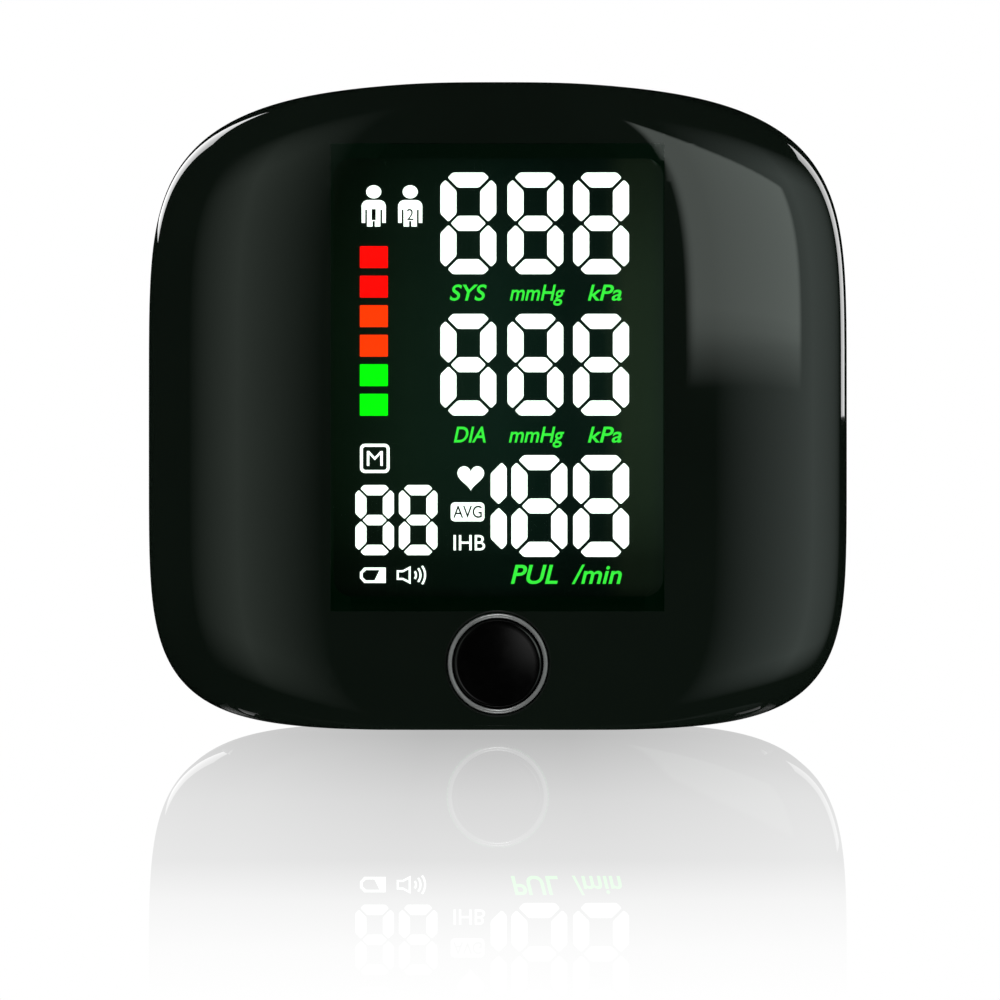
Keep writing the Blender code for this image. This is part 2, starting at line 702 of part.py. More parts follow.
def make_batteries(cell_paint, steel):
    """Four AA cells side by side, each second one upside down, with their springs and contact plates."""
    floor = TRAY_LOW + GAP + PLATE_THICKNESS
    roof = TRAY_HIGH - GAP - PLATE_THICKNESS
    for i in range(4):
        x = CELL_PITCH * (i - 1.5)
        up = 1.0 if i % 2 == 0 else -1.0
        start = floor if up > 0 else roof
        spring_at = start + up * GAP
        at = (x, CELL_Y, spring_at)
        coil(f"battery_spring_{i + 1}", steel, (4.6, 3.0), SPRING_LENGTH, 0.35, 3, at, up)
        base = spring_at + up * (SPRING_LENGTH + GAP)
        profile = [
            (0, 0),
            (CELL_RADIUS - 0.6, 0),
            (CELL_RADIUS, 0.6),
            (CELL_RADIUS, CELL_LENGTH - 0.6),
            (CELL_RADIUS - 0.6, CELL_LENGTH),
            (2.7, CELL_LENGTH),
            (2.7, CELL_LENGTH + NUB_LENGTH),
            (0, CELL_LENGTH + NUB_LENGTH),
        ]
        profile = [(radius, up * along) for radius, along in profile]
        turned(f"battery_{i + 1}", cell_paint, profile, (x, CELL_Y, base), "Z", 16)
    plates = (
        ("contact_minus", -1.5, -1.5, TRAY_LOW + GAP),
        ("contact_bridge_low", -0.5, 0.5, TRAY_LOW + GAP),
        ("contact_plus", 1.5, 1.5, TRAY_LOW + GAP),
        ("contact_bridge_left", -1.5, -0.5, roof),
        ("contact_bridge_right", 0.5, 1.5, roof),
    )
    for name, first, last, z in plates:
        low = (CELL_PITCH * first - 6, CELL_Y - 6.5, z)
        high = (CELL_PITCH * last + 6, CELL_Y + 6.5, z + PLATE_THICKNESS)
        block(name, steel, low, high)


def make_battery_door(paint):
    """The door turns on two short pins along its rounded lower edge; its origin is on their axis."""
    radius = DOOR_THICKNESS / 2
    height = DOOR_HIGH - DOOR_AXIS[1]
    bm = bmesh.new()
    arc = [math.pi / 2 + math.pi * i / 6 for i in range(7)]
    profile = [(radius * math.sin(a), radius * math.cos(a)) for a in arc]
    chamfer = 0.4
    profile += [
        (-radius, height - chamfer),
        (-radius + chamfer, height),
        (radius - chamfer, height),
        (radius, height - chamfer),
    ]
    left = [bm.verts.new((-DOOR_HALF, y, z)) for y, z in profile]
    right = [bm.verts.new((DOOR_HALF, y, z)) for y, z in profile]
    bm.faces.new(left)
    bm.faces.new(right)
    for i in range(len(profile)):
        j = (i + 1) % len(profile)
        bm.faces.new((left[i], left[j], right[j], right[i]))
    door = solid("battery_door", bm, paint, (0, *DOOR_AXIS))
    end = DOOR_HALF + DOOR_PIN_LENGTH
    for start, stop in ((-end, -DOOR_HALF + 1), (DOOR_HALF - 1, end)):
        add(door, rod("pin", None, DOOR_PIN_RADIUS, start, stop, "X", DOOR_AXIS, 12))
    for x in (-LATCH_SLOT_X, LATCH_SLOT_X):
        low = (x - 0.5, REAR_Y - 3, DOOR_HIGH - LATCH_LENGTH)
        cut(door, block("latch_slot", None, low, (x + 0.5, REAR_Y + 1, DOOR_HIGH + 1)))


def make_screw(name, material, at, head_radius, head_height, radius, length):
    """A pan head screw whose head points along +Y; at is the underside of its head."""
    profile = (
        (0, -length),
        (radius * 0.5, -length),
        (radius, -length + 1.2),
        (radius, 0),
        (head_radius, 0),
        (head_radius, head_height * 0.5),
        (head_radius * 0.6, head_height),
        (0, head_height),
    )
    screw = turned(name, material, profile, at, "Y", 12)
    x, y, z = at
    for half_x, half_z in ((head_radius * 0.55, 0.3), (0.3, head_radius * 0.55)):
        low = (x - half_x, y + head_height * 0.45, z - half_z)
        high = (x + half_x, y + head_height + 1, z + half_z)
        cut(screw, block("cross", None, low, high))
    return screw


def make_fasteners_and_feet(steel, rubber):
    for i, (x, z) in enumerate(CASE_SCREWS, 1):
        make_screw(f"case_screw_{i}", steel, (x, SCREW_SEAT_Y + GAP, z), 2.5, 2.0, 1.2, 20.0)
    for i, (x, z) in enumerate(DISPLAY_POSTS[:2], 1):
        make_screw(f"display_screw_{i}", steel, (x, DISPLAY_BOARD_Y[1] + GAP, z), 2.0, 1.3, 0.9, 6.5)
    for i, (x, z) in enumerate(BOARD_POSTS, 1):
        screw = make_screw(f"board_screw_{i}", steel, (x, 0.0, z), 2.2, 1.3, 0.9, 4.5)
        screw.rotation_euler = (math.pi / 2, 0.0, 0.0)
        screw.location.y = (BOARD_Y[0] - GAP) * MM
    height = FOOT_FACE - REAR_Y + FOOT_SUNK
    profile = (
        (0, 0),
        (FOOT_RADIUS, 0),
        (FOOT_RADIUS, height - 0.4),
        (FOOT_RADIUS - 0.4, height),
        (0, height),
    )
    for i, (x, z) in enumerate(FEET, 1):
        turned(f"foot_{i}", rubber, profile, (x, REAR_Y - FOOT_SUNK, z), "Y", 20)


def main():
    clear_scene()
    gloss = look("gloss_black_plastic", (0.012, 0.015, 0.013), 0.08)
    matt = look("black_plastic", (0.02, 0.022, 0.021), 0.4)
    chrome = look("chrome", (0.75, 0.76, 0.75), 0.12, 1.0)
    steel = look("plated_steel", (0.6, 0.6, 0.58), 0.3, 1.0)
    board = look("green_board", (0.02, 0.16, 0.07), 0.45)
    white = look("white_plastic", (0.75, 0.75, 0.72), 0.5)
    grey = look("grey_plastic", (0.3, 0.31, 0.32), 0.5)
    rubber = look("black_rubber", (0.03, 0.03, 0.03), 0.8)
    tube = look("clear_tube", (0.7, 0.72, 0.7), 0.35)
    film = look("smoked_film", (0.02, 0.05, 0.03), 0.3)
    cell = look("cell_jacket", (0.05, 0.16, 0.4), 0.35)

    make_front_cover(gloss)
    make_rear_cover(matt)
    make_start_button(gloss, chrome, matt, white)
    make_display(film, white, board, matt)
    make_main_board(board, matt, grey)
    make_pump(steel, grey, rubber, chrome)
    make_valve(steel, grey, chrome)
    make_air_path(grey, tube)
    make_sockets_and_speaker(steel, matt)
    make_batteries(cell, steel)
    make_battery_door(matt)
    make_fasteners_and_feet(steel, rubber)


main()
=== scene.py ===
"""Looks of an upright upper arm blood pressure monitor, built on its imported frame.

Lengths here are millimetres until mesh_object() turns them into metres. The glossy front faces -Y, +X is
the viewer's right and +Z is up. The display's lit shapes lie behind a smoked window in the front shell.
"""

import math

import bmesh
import bpy
import numpy as np
from mathutils import Matrix, Vector


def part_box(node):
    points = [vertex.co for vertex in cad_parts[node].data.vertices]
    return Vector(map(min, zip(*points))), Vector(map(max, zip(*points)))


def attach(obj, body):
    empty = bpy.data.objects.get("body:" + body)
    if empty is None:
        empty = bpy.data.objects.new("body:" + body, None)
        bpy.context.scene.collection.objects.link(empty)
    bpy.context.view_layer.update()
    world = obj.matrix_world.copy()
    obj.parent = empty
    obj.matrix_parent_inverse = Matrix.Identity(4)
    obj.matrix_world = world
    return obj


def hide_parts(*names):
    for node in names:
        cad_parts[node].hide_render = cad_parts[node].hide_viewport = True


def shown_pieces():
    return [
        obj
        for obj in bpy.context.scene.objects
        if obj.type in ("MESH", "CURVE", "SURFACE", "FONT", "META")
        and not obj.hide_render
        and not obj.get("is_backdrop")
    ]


MM = 0.001
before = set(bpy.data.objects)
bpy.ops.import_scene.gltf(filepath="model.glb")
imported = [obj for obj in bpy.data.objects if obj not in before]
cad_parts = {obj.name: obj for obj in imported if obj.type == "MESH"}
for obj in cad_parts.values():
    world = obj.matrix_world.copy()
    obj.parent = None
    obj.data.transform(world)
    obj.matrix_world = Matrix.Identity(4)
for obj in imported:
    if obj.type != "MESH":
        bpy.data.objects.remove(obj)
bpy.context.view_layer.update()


def box(node):
    """Lowest and highest corner of a CAD node, in millimetres."""
    low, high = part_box(node)
    return low / MM, high / MM


FRONT_LOW, FRONT_HIGH = box("front_cover")
REAR_HIGH = box("rear_cover")[1]
FILM_LOW, FILM_HIGH = box("display_film")
CAP_LOW, CAP_HIGH = box("start_button")
RING_LOW, RING_HIGH = box("button_ring")
DOOR_LOW, DOOR_HIGH = box("battery_door")
SOCKET_LOW, SOCKET_HIGH = box("air_socket")
PORT_LOW, PORT_HIGH = box("charging_port")
SPEAKER_LOW, SPEAKER_HIGH = box("speaker")

# Housing, as the CAD part draws it
HALF_WIDTH = FRONT_HIGH.x
FRONT_Y = FRONT_LOW.y
REAR_Y = REAR_HIGH.y
PARTING_Y = FRONT_HIGH.y + 0.15
WIDEST_Z = 52.0
RISE = FRONT_HIGH.z - WIDEST_Z
DROP = 52.25
WALL = 2.2
TOP_POWERS = (3.0, 5.3)
BOTTOM_POWERS = (5.0, 5.2)
SIDE_ROUNDING = (0.42, 16.0)
TOP_ROUNDING = (0.93, 5.0)
BOTTOM_ROUNDING = (0.965, 3.0)
REAR_ROUNDING = (0.839, 0.905, 0.885, 9.0)
AROUND = 256  # points round one outline
ROUNDING_STEPS = 30
PART_GAP = 0.15  # half the gap at the parting line
EDGE_ROUND = 0.3
SLOT_PITCH = 2.8
SLOT_FIELD_RADIUS = 6.7  # the speaker's slots end on this circle
DOOR_AXIS = (23.5, 14.4)  # y and z of the battery door's pins

BUTTON_Z = (RING_LOW.z + RING_HIGH.z) / 2
RING_OUTER = RING_HIGH.x
WINDOW_LOW = (-29.4, 20.9)
WINDOW_HIGH = (29.3, 103.2)
LIT_LOW = (-28.9, 23.5)
LIT_HIGH = (29.1, 100.6)
WINDOW_REACH_Y = FRONT_Y + 6.0  # the front wall near the window lies before this depth
WINDOW_REACH_X = 40.0
INNER_FRONT = FRONT_Y + WALL

# ---- mesh helpers


def mesh_object(name, bm, materials, body="root", replaces=(), sharp=32.0):
    """A piece from a bmesh in millimetres that rides on a body."""
    bmesh.ops.recalc_face_normals(bm, faces=bm.faces)
    bmesh.ops.scale(bm, vec=(MM, MM, MM), verts=bm.verts)
    mesh = bpy.data.meshes.new(name)
    bm.to_mesh(mesh)
    bm.free()
    mesh.shade_smooth()
    mesh.set_sharp_from_angle(angle=math.radians(sharp))
    for material in materials:
        mesh.materials.append(material)
    obj = bpy.data.objects.new(name, mesh)
    bpy.context.scene.collection.objects.link(obj)
    if body:
        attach(obj, body)
    if replaces:
        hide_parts(*replaces)
    return obj


def loft(rings):
    """A closed body through rings with as many points each."""
    bm = bmesh.new()
    rows = [[bm.verts.new(point) for point in ring] for ring in rings]
    for row, following in zip(rows, rows[1:]):
        for i in range(len(row)):
            j = (i + 1) % len(row)
            bm.faces.new((row[i], row[j], following[j], following[i]))
    bm.faces.new(rows[0])
    bm.faces.new(rows[-1])
    return bm


def turned(profile, at, axis="Y", steps=64):
    """A body turned from (radius, along) points; along runs from the point in the axis's direction."""
    bm = bmesh.new()
    sides = {"X": (1, 2, 0), "Y": (0, 2, 1), "Z": (0, 1, 2)}[axis]
    rows = []
    for radius, along in profile:
        row = []
        for k in range(steps if radius > 0 else 1):
            angle = math.tau * k / steps
            point = [0.0, 0.0, 0.0]
            point[sides[0]] = at[sides[0]] + radius * math.cos(angle)
            point[sides[1]] = at[sides[1]] + radius * math.sin(angle)
            point[sides[2]] = at[sides[2]] + along
            row.append(bm.verts.new(point))
        rows.append(row)
    pairs = list(zip(rows, rows[1:]))
    if profile[0][0] > 0 and profile[-1][0] > 0:
        pairs.append((rows[-1], rows[0]))
    for row, following in pairs:
        for k in range(steps):
            m = (k + 1) % steps
            if len(row) == 1:
                bm.faces.new((row[0], following[m], following[k]))
            elif len(following) == 1:
                bm.faces.new((row[k], row[m], following[0]))
            else:
                bm.faces.new((row[k], row[m], following[m], following[k]))
    return bm


def block(low, high, bevel=0.0, segments=2):
    """A box between two corners, with rounded edges."""
    bm = bmesh.new()
    made = bmesh.ops.create_cube(bm, size=1.0)["verts"]
    low, high = Vector(low), Vector(high)
    bmesh.ops.scale(bm, vec=high - low, verts=made)
    bmesh.ops.translate(bm, vec=(low + high) / 2, verts=made)
    if bevel:
        edges = list({edge for vert in made for edge in vert.link_edges})
        bmesh.ops.bevel(bm, geom=edges, offset=bevel, segments=segments, affect="EDGES", profile=0.5)
    return bm


def rounded_outline(low, high, corner, steps=8):
    """A rectangle's (x, z) outline with round corners."""
    points = []
    corners = (
        (high[0] - corner, high[1] - corner),
        (low[0] + corner, high[1] - corner),
        (low[0] + corner, low[1] + corner),
        (high[0] - corner, low[1] + corner),
    )
    for quarter, (x, z) in enumerate(corners):
        for step in range(steps + 1):
            angle = math.pi / 2 * (quarter + step / steps)
            points.append((x + corner * math.cos(angle), z + corner * math.sin(angle)))
    return points


def boolean(obj, cutters, operation="DIFFERENCE"):
    """Applies each cutter, a bmesh in millimetres, to the piece's own mesh."""
    helpers = []
    obj.data.transform(Matrix.Scale(1 / MM, 4))
    for cutter in cutters:
        helper = mesh_object(obj.name + "_cutter", cutter, (), body=None)
        helper.data.transform(Matrix.Scale(1 / MM, 4))
        modifier = obj.modifiers.new("cut", "BOOLEAN")
        modifier.operation = operation
        modifier.solver = "EXACT"
        modifier.object = helper
        helpers.append(helper)
    bpy.context.view_layer.update()
    graph = bpy.context.evaluated_depsgraph_get()
    mesh = bpy.data.meshes.new_from_object(obj.evaluated_get(graph))
    mesh.transform(Matrix.Scale(MM, 4))
    obj.modifiers.clear()
    obj.data = mesh
    for helper in helpers:
        bpy.data.objects.remove(helper)
    mesh.shade_smooth()
    mesh.set_sharp_from_angle(angle=math.radians(32.0))


# ---- materials


MAP_RANGE_SOCKETS = ("From Min", "From Max", "To Min", "To Max")


class Finish:
    """A Principled material with object-space noise to drive its colour, roughness and bump."""

    def __init__(self, name, colour, roughness, metallic=0.0, **sockets):
        self.material = bpy.data.materials.new(name)
        self.material.use_nodes = True
        self.tree = self.material.node_tree
        self.shader = self.tree.nodes["Principled BSDF"]
        self.colour = colour
        self.rough = roughness
        self.set("Base Color", (*colour, 1.0))
        self.set("Roughness", roughness)
        self.set("Metallic", metallic)
        for socket, value in sockets.items():
            self.set(socket.replace("_", " "), value)
        self.place = self.tree.nodes.new("ShaderNodeTexCoord").outputs["Object"]
        self.normal = None

    def link(self, output, socket):
        self.tree.links.new(output, socket)

    def set(self, socket, value):
        self.shader.inputs[socket].default_value = value

    def noise(self, scale, detail=3.0, stretch=None):
        """Noise with this many waves to a metre."""
        vector = self.place
        if stretch:
            mapping = self.tree.nodes.new("ShaderNodeMapping")
            mapping.inputs["Scale"].default_value = stretch
            self.link(vector, mapping.inputs["Vector"])
            vector = mapping.outputs["Vector"]
        node = self.tree.nodes.new("ShaderNodeTexNoise")
        node.inputs["Scale"].default_value = scale
        node.inputs["Detail"].default_value = detail
        self.link(vector, node.inputs["Vector"])
        return node.outputs["Fac"]

    def between(self, factor, low, high, start=0.35, end=0.65):
        node = self.tree.nodes.new("ShaderNodeMapRange")
        for socket, value in zip(MAP_RANGE_SOCKETS, (start, end, low, high)):
            node.inputs[socket].default_value = value
        self.link(factor, node.inputs["Value"])
        return node.outputs["Result"]

    def mix(self, factor, first, second):
        node = self.tree.nodes.new("ShaderNodeMix")
        node.data_type = "RGBA"
        for target, value in zip(node.inputs[6:8], (first, second)):  # the two colours
            if isinstance(value, tuple):
                target.default_value = (*value, 1.0)
            else:
                self.link(value, target)
        self.link(factor, node.inputs[0])
        return node.outputs[2]

    def mottle(self, scale, share, detail=4.0):
        """Lighter and darker patches of the base colour."""
        light = tuple(min(1.0, c * (1 + share)) for c in self.colour)
        dark = tuple(c * (1 - share) for c in self.colour)
        factor = self.between(self.noise(scale, detail), 0.0, 1.0)
        self.link(self.mix(factor, dark, light), self.shader.inputs["Base Color"])
        return self

    def wear(self, scale, change, detail=5.0, stretch=None):
        """Roughness that varies by plus or minus the change."""
        factor = self.noise(scale, detail, stretch)
        value = self.between(factor, max(0.0, self.rough - change), self.rough + change)
        self.link(value, self.shader.inputs["Roughness"])
        return self

    def grain(self, scale, depth, detail=2.0, stretch=None, strength=1.0):
        """Raised grain, with its depth in millimetres. A second call adds to the first."""
        bump = self.tree.nodes.new("ShaderNodeBump")
        bump.inputs["Strength"].default_value = strength
        bump.inputs["Distance"].default_value = depth * MM
        self.link(self.noise(scale, detail, stretch), bump.inputs["Height"])
        if self.normal:
            self.link(self.normal, bump.inputs["Normal"])
        self.normal = bump.outputs["Normal"]
        self.link(self.normal, self.shader.inputs["Normal"])
        return self

    def axis(self, name):
        """One object coordinate, in metres."""
        node = self.tree.nodes.new("ShaderNodeSeparateXYZ")
        self.link(self.place, node.inputs["Vector"])
        return node.outputs[name]

    def ramp(self, name, stops, interpolation="LINEAR"):
        """Colours along one object coordinate, from (millimetres, colour) stops."""
        first, last = stops[0][0], stops[-1][0]
        node = self.tree.nodes.new("ShaderNodeValToRGB")
        node.color_ramp.interpolation = interpolation
        elements = node.color_ramp.elements
        elements.remove(elements[1])
        elements[0].position = 0.0
        elements[0].color = (*stops[0][1], 1.0)
        for place, colour in stops[1:]:
            elements.new((place - first) / (last - first)).color = (*colour, 1.0)
        factor = self.between(self.axis(name), 0.0, 1.0, first * MM, last * MM)
        self.link(factor, node.inputs["Fac"])
        return node.outputs["Color"]


def finish(name, colour, roughness, mottle, wear, *grains, metallic=0.0, **sockets):
    """A whole material: the mottle, the wear and each layer of grain hold those methods' own values."""
    made = Finish(name, colour, roughness, metallic, **sockets).mottle(*mottle).wear(*wear)
    for grain in grains:
        made.grain(*grain)
    return made.material


def moulded(name, colour, roughness, grain):
    return finish(name, colour, roughness, (60.0, 0.12), (180.0, 0.07), (2600.0, grain), (240.0, grain, 4.0))


def lit(name, colour, strength):
    """A shape that the display's LEDs light from behind through a thin diffusing print."""
    made = Finish(name, tuple(0.6 * c for c in colour), 0.45, Emission_Strength=strength)
    made.set("Emission Color", (*colour, 1.0))
    return made.mottle(900.0, 0.06).wear(500.0, 0.05).grain(3000.0, 0.004).material


FRONT_BLACK = (0.0037, 0.0060, 0.0042)
BRUSHED = (1.0, 1.0, 0.25)  # the gloss varies in streaks that run upwards
front_gloss = finish(
    "front_gloss", FRONT_BLACK, 0.018, (25.0, 0.10), (160.0, 0.006, 5.0, BRUSHED), (30.0, 0.0006, 1.0),
    IOR=1.5,
)
smoked = Finish("smoked_window", (0.70, 0.80, 0.73), 0.02, IOR=1.45, Transmission_Weight=1.0)
smoked_window = smoked.wear(160.0, 0.008, stretch=BRUSHED).material
button_gloss = finish(
    "button_gloss", (0.0006, 0.0006, 0.0006), 0.13, (300.0, 0.15), (700.0, 0.02), (2500.0, 0.0006), IOR=1.5
)
ring_chrome = finish(
    "ring_chrome", (0.100, 0.104, 0.102), 0.30, (500.0, 0.08), (900.0, 0.06), (4000.0, 0.002), metallic=0.25
)
rear_plastic = finish(
    "rear_plastic", (0.020, 0.023, 0.021), 0.46, (45.0, 0.14), (120.0, 0.06),
    (2300.0, 0.022), (300.0, 0.006, 3.0),
)
door_plastic = finish(
    "door_plastic", (0.021, 0.024, 0.022), 0.42, (50.0, 0.14), (90.0, 0.07), (2300.0, 0.020)
)
plated_steel = finish(
    "plated_steel", (0.62, 0.62, 0.59), 0.27, (400.0, 0.10), (700.0, 0.09), (1500.0, 0.004), metallic=1.0
)
white_plastic = moulded("white_plastic", (0.74, 0.74, 0.71), 0.5, 0.006)
grey_plastic = moulded("grey_plastic", (0.29, 0.30, 0.31), 0.48, 0.008)
black_plastic = moulded("black_plastic", (0.026, 0.026, 0.026), 0.42, 0.010)
black_rubber = finish(
    "black_rubber", (0.024, 0.024, 0.024), 0.78, (260.0, 0.25), (240.0, 0.08), (1500.0, 0.03, 5.0)
)
tube_silicone = finish(
    "tube_silicone", (0.68, 0.70, 0.67), 0.32, (120.0, 0.06), (300.0, 0.06), (900.0, 0.01),
    Subsurface_Weight=0.3, Subsurface_Scale=0.002,
)


def make_board_finish():
    """Green solder mask over copper tracks, which show as lighter lines."""
    made = Finish("board", (0.012, 0.11, 0.045), 0.36)
    brick = made.tree.nodes.new("ShaderNodeTexBrick")
    brick.inputs["Scale"].default_value = 260.0
    brick.inputs["Mortar Size"].default_value = 0.05
    brick.inputs["Color1"].default_value = (0.010, 0.10, 0.040, 1.0)
    brick.inputs["Color2"].default_value = (0.014, 0.12, 0.050, 1.0)
    brick.inputs["Mortar"].default_value = (0.05, 0.22, 0.08, 1.0)
    turn = made.tree.nodes.new("ShaderNodeMapping")
    turn.inputs["Rotation"].default_value = (math.pi / 2, 0.0, 0.0)
    made.link(made.place, turn.inputs["Vector"])
    made.link(turn.outputs["Vector"], brick.inputs["Vector"])
    made.link(brick.outputs["Color"], made.shader.inputs["Base Color"])
    return made.wear(200.0, 0.08).grain(700.0, 0.01).material


CELL_PRINT = (0.025, 0.09, 0.28)
CELL_END = (0.62, 0.62, 0.60)
CELL_JACKET = (  # from the minus end to the plus end, as shares of the length
    (0.0, CELL_END), (0.03, CELL_PRINT), (0.68, (0.70, 0.71, 0.70)), (0.72, CELL_PRINT), (0.93, CELL_END),
    (1.0, CELL_END),
)


def make_cell_finish(name, node, plus_up):
    """A printed shrink jacket: dark blue with a pale band near the plus end, and pale ends."""
    low, high = (edge.z for edge in box(node))
    start, end = (low, high) if plus_up else (high, low)
    made = Finish(name, (0.03, 0.10, 0.30), 0.30)
    stops = [(start + share * (end - start), colour) for share, colour in CELL_JACKET]
    made.link(made.ramp("Z", stops, "CONSTANT"), made.shader.inputs["Base Color"])
    return made.wear(150.0, 0.08).grain(400.0, 0.01).material


# Painted light: the film's faint green glow from left to right in millimetres, paler and brighter towards
# its right.
FILM_PAINTED_GLOW = (
    (-29.0, (0.0030, 0.0082, 0.0038)),
    (-24.0, (0.0038, 0.0100, 0.0052)),
    (-16.0, (0.0062, 0.0160, 0.0092)),
    (0.0, (0.0060, 0.0185, 0.0125)),
    (7.0, (0.0040, 0.0145, 0.0100)),
    (12.0, (0.0040, 0.0122, 0.0088)),
    (18.5, (0.0042, 0.0125, 0.0090)),
    (22.5, (0.0185, 0.0300, 0.0172)),
    (27.0, (0.0185, 0.0310, 0.0185)),
    (29.0, (0.0165, 0.0270, 0.0190)),
)
# Painted shade: shares of that painted glow up the film in millimetres, dimmer towards its top and bottom.
FILM_PAINTED_LIGHT_LEVELS = (
    (23.5, 0.15),
    (25.5, 0.34),
    (30.0, 0.42),
    (33.5, 0.62),
    (40.0, 0.85),
    (52.0, 1.0),
    (69.0, 1.0),
    (78.0, 0.92),
    (86.5, 0.75),
    (99.5, 0.47),
    (101.5, 0.33),
)


def make_film_painted_light():
    """The dark printed film behind the window, with a faint green glow painted on as light, paler at its
    right, and dimmed by painted shade towards its top and bottom.
    """
    made = Finish("display_film", (0.0015, 0.0025, 0.0018), 0.6, Emission_Strength=1.0)
    made.set("Specular IOR Level", 0.05)
    across = made.ramp("X", FILM_PAINTED_GLOW)
    upright = made.ramp("Z", [(place, (level, level, level)) for place, level in FILM_PAINTED_LIGHT_LEVELS])
    glow = made.mix(made.between(made.noise(40.0, 3.0), 0.90, 1.0), (0.0, 0.0, 0.0), across)
    product = made.tree.nodes.new("ShaderNodeVectorMath")
    product.operation = "MULTIPLY"
    made.link(glow, product.inputs[0])
    made.link(upright, product.inputs[1])
    made.link(product.outputs["Vector"], made.shader.inputs["Emission Color"])
    return made.wear(300.0, 0.1).grain(1800.0, 0.004).material


def make_mask_painted_light():
    """The black print round the display, with a faint green glow painted on as light, and darkest in a
    painted shadow near its bottom edge.
    """
    made = Finish("black_print_painted_glow", (0.0004, 0.0006, 0.0005), 0.6, Emission_Strength=1.0)
    made.set("Specular IOR Level", 0.05)
    # Painted light and shade: the glow's colour up the print in millimetres, darkest near its bottom edge as
    # a painted shadow.
    painted_glow_and_shade = made.ramp("Z", (
        (19.0, (0.0012, 0.0040, 0.0016)),
        (22.5, (0.0000, 0.0030, 0.0008)),
        (26.0, (0.0002, 0.0034, 0.0008)),
        (34.0, (0.0024, 0.0066, 0.0032)),
        (80.0, (0.0026, 0.0068, 0.0034)),
        (98.0, (0.0012, 0.0048, 0.0022)),
        (103.2, (0.0012, 0.0050, 0.0024)),
    ))
    made.link(painted_glow_and_shade, made.shader.inputs["Emission Color"])
    return made.mottle(400.0, 0.2).wear(300.0, 0.1).grain(1800.0, 0.003).material


# ---- housing


def swell(share):
    """Quarter-ellipse growth from 0 at a flat face to 1 where the side is square to it."""
    return math.sqrt(1 - (1 - min(max(share, 0.0), 1.0)) ** 2)


def grown(flat, share):
    return flat + (1 - flat) * swell(share)


def section(y, inset=0.0, trim=0.0):
    """The housing's outline at this depth, drawn in by the inset; trim draws it in at the same depth."""
    ahead = y - (FRONT_Y + inset)
    rear_share = (REAR_Y - inset - y) / (REAR_ROUNDING[3] - inset)
    wide = min(
        grown(SIDE_ROUNDING[0], ahead / (SIDE_ROUNDING[1] - inset)),
        grown(REAR_ROUNDING[0], rear_share),
    )
    high = min(
        grown(TOP_ROUNDING[0], ahead / (TOP_ROUNDING[1] - inset)),
        grown(REAR_ROUNDING[1], rear_share),
    )
    low = min(
        grown(BOTTOM_ROUNDING[0], ahead / (BOTTOM_ROUNDING[1] - min(inset, WALL))),
        grown(REAR_ROUNDING[2], rear_share),
    )
    inset += trim
    points = []
    for i in range(AROUND):
        angle = math.tau * i / AROUND
        c, s = math.cos(angle), math.sin(angle)
        if s >= 0:
            powers, height = TOP_POWERS, (RISE - inset) * high
        else:
            powers, height = BOTTOM_POWERS, (DROP - inset) * low
        x = (HALF_WIDTH - inset) * wide * math.copysign(abs(c) ** (2 / powers[0]), c)
        z = WIDEST_Z + height * math.copysign(abs(s) ** (2 / powers[1]), s)
        points.append((x, y, max(z, inset)))
    return points


def shrunk(ring, share):
    """The ring drawn towards the middle of the housing, at the same depth."""
    return [(x * share, y, WIDEST_Z + (z - WIDEST_Z) * share) for x, y, z in ring]


def rounding_depths(start, depth, steps):
    """Depths of the rings over a rounding, closest together next to the flat face."""
    return [start + depth * (1 - math.cos(math.pi / 2 * i / steps)) for i in range(steps + 1)]


def rounded_edge(edge, towards):
    """Rings that round off the rim at the parting line; towards is 1 where the rim faces +Y."""
    rings = []
    for step in range(4):
        angle = math.pi / 2 * step / 3
        y = edge - towards * EDGE_ROUND * (1 - math.sin(angle))
        rings.append(section(y, trim=EDGE_ROUND * (1 - math.cos(angle))))
    return rings


def make_front_shell():
    edge = PARTING_Y - PART_GAP
    side = SIDE_ROUNDING[1]
    face = section(FRONT_Y)
    outside = [shrunk(face, 0.97)]
    outside += [section(y) for y in rounding_depths(FRONT_Y, side, ROUNDING_STEPS)]
    outside += rounded_edge(edge, 1.0)
    depths = rounding_depths(INNER_FRONT, side - WALL, 12)
    inside = [section(edge, WALL)]
    inside += [section(y, WALL) for y in reversed(depths)]
    inside.append(shrunk(section(INNER_FRONT, WALL), 0.97))
    bm = loft(outside + inside)
    planes = (
        ((WINDOW_LOW[0], 0, 0), (1, 0, 0)),
        ((WINDOW_HIGH[0], 0, 0), (1, 0, 0)),
        ((0, 0, WINDOW_LOW[1]), (0, 0, 1)),
        ((0, 0, WINDOW_HIGH[1]), (0, 0, 1)),
    )
    for point, normal in planes:
        near = []
        for face in bm.faces:
            centre = face.calc_center_median()
            if centre.y < WINDOW_REACH_Y and abs(centre.x) < WINDOW_REACH_X:
                near.append(face)
        geometry = set(near)
        for face in near:
            geometry.update(face.verts)
            geometry.update(face.edges)
        bmesh.ops.bisect_plane(bm, geom=list(geometry), dist=1e-5, plane_co=point, plane_no=normal)
    for face in bm.faces:
        centre = face.calc_center_median()
        in_width = WINDOW_LOW[0] < centre.x < WINDOW_HIGH[0]
        if in_width and WINDOW_LOW[1] < centre.z < WINDOW_HIGH[1] and centre.y < WINDOW_REACH_Y:
            face.material_index = 1
    finishes = (front_gloss, smoked_window)
    shell = mesh_object("front_shell", bm, finishes, replaces=("front_cover",))
    hole = RING_OUTER + 0.22
    bore = ((0, -2.0), (hole + 0.35, -2.0), (hole + 0.35, 0.0), (hole, 0.35), (hole, 5.0), (0, 5.0))
    boolean(shell, (turned(bore, (0, FRONT_Y, BUTTON_Z), steps=96),))


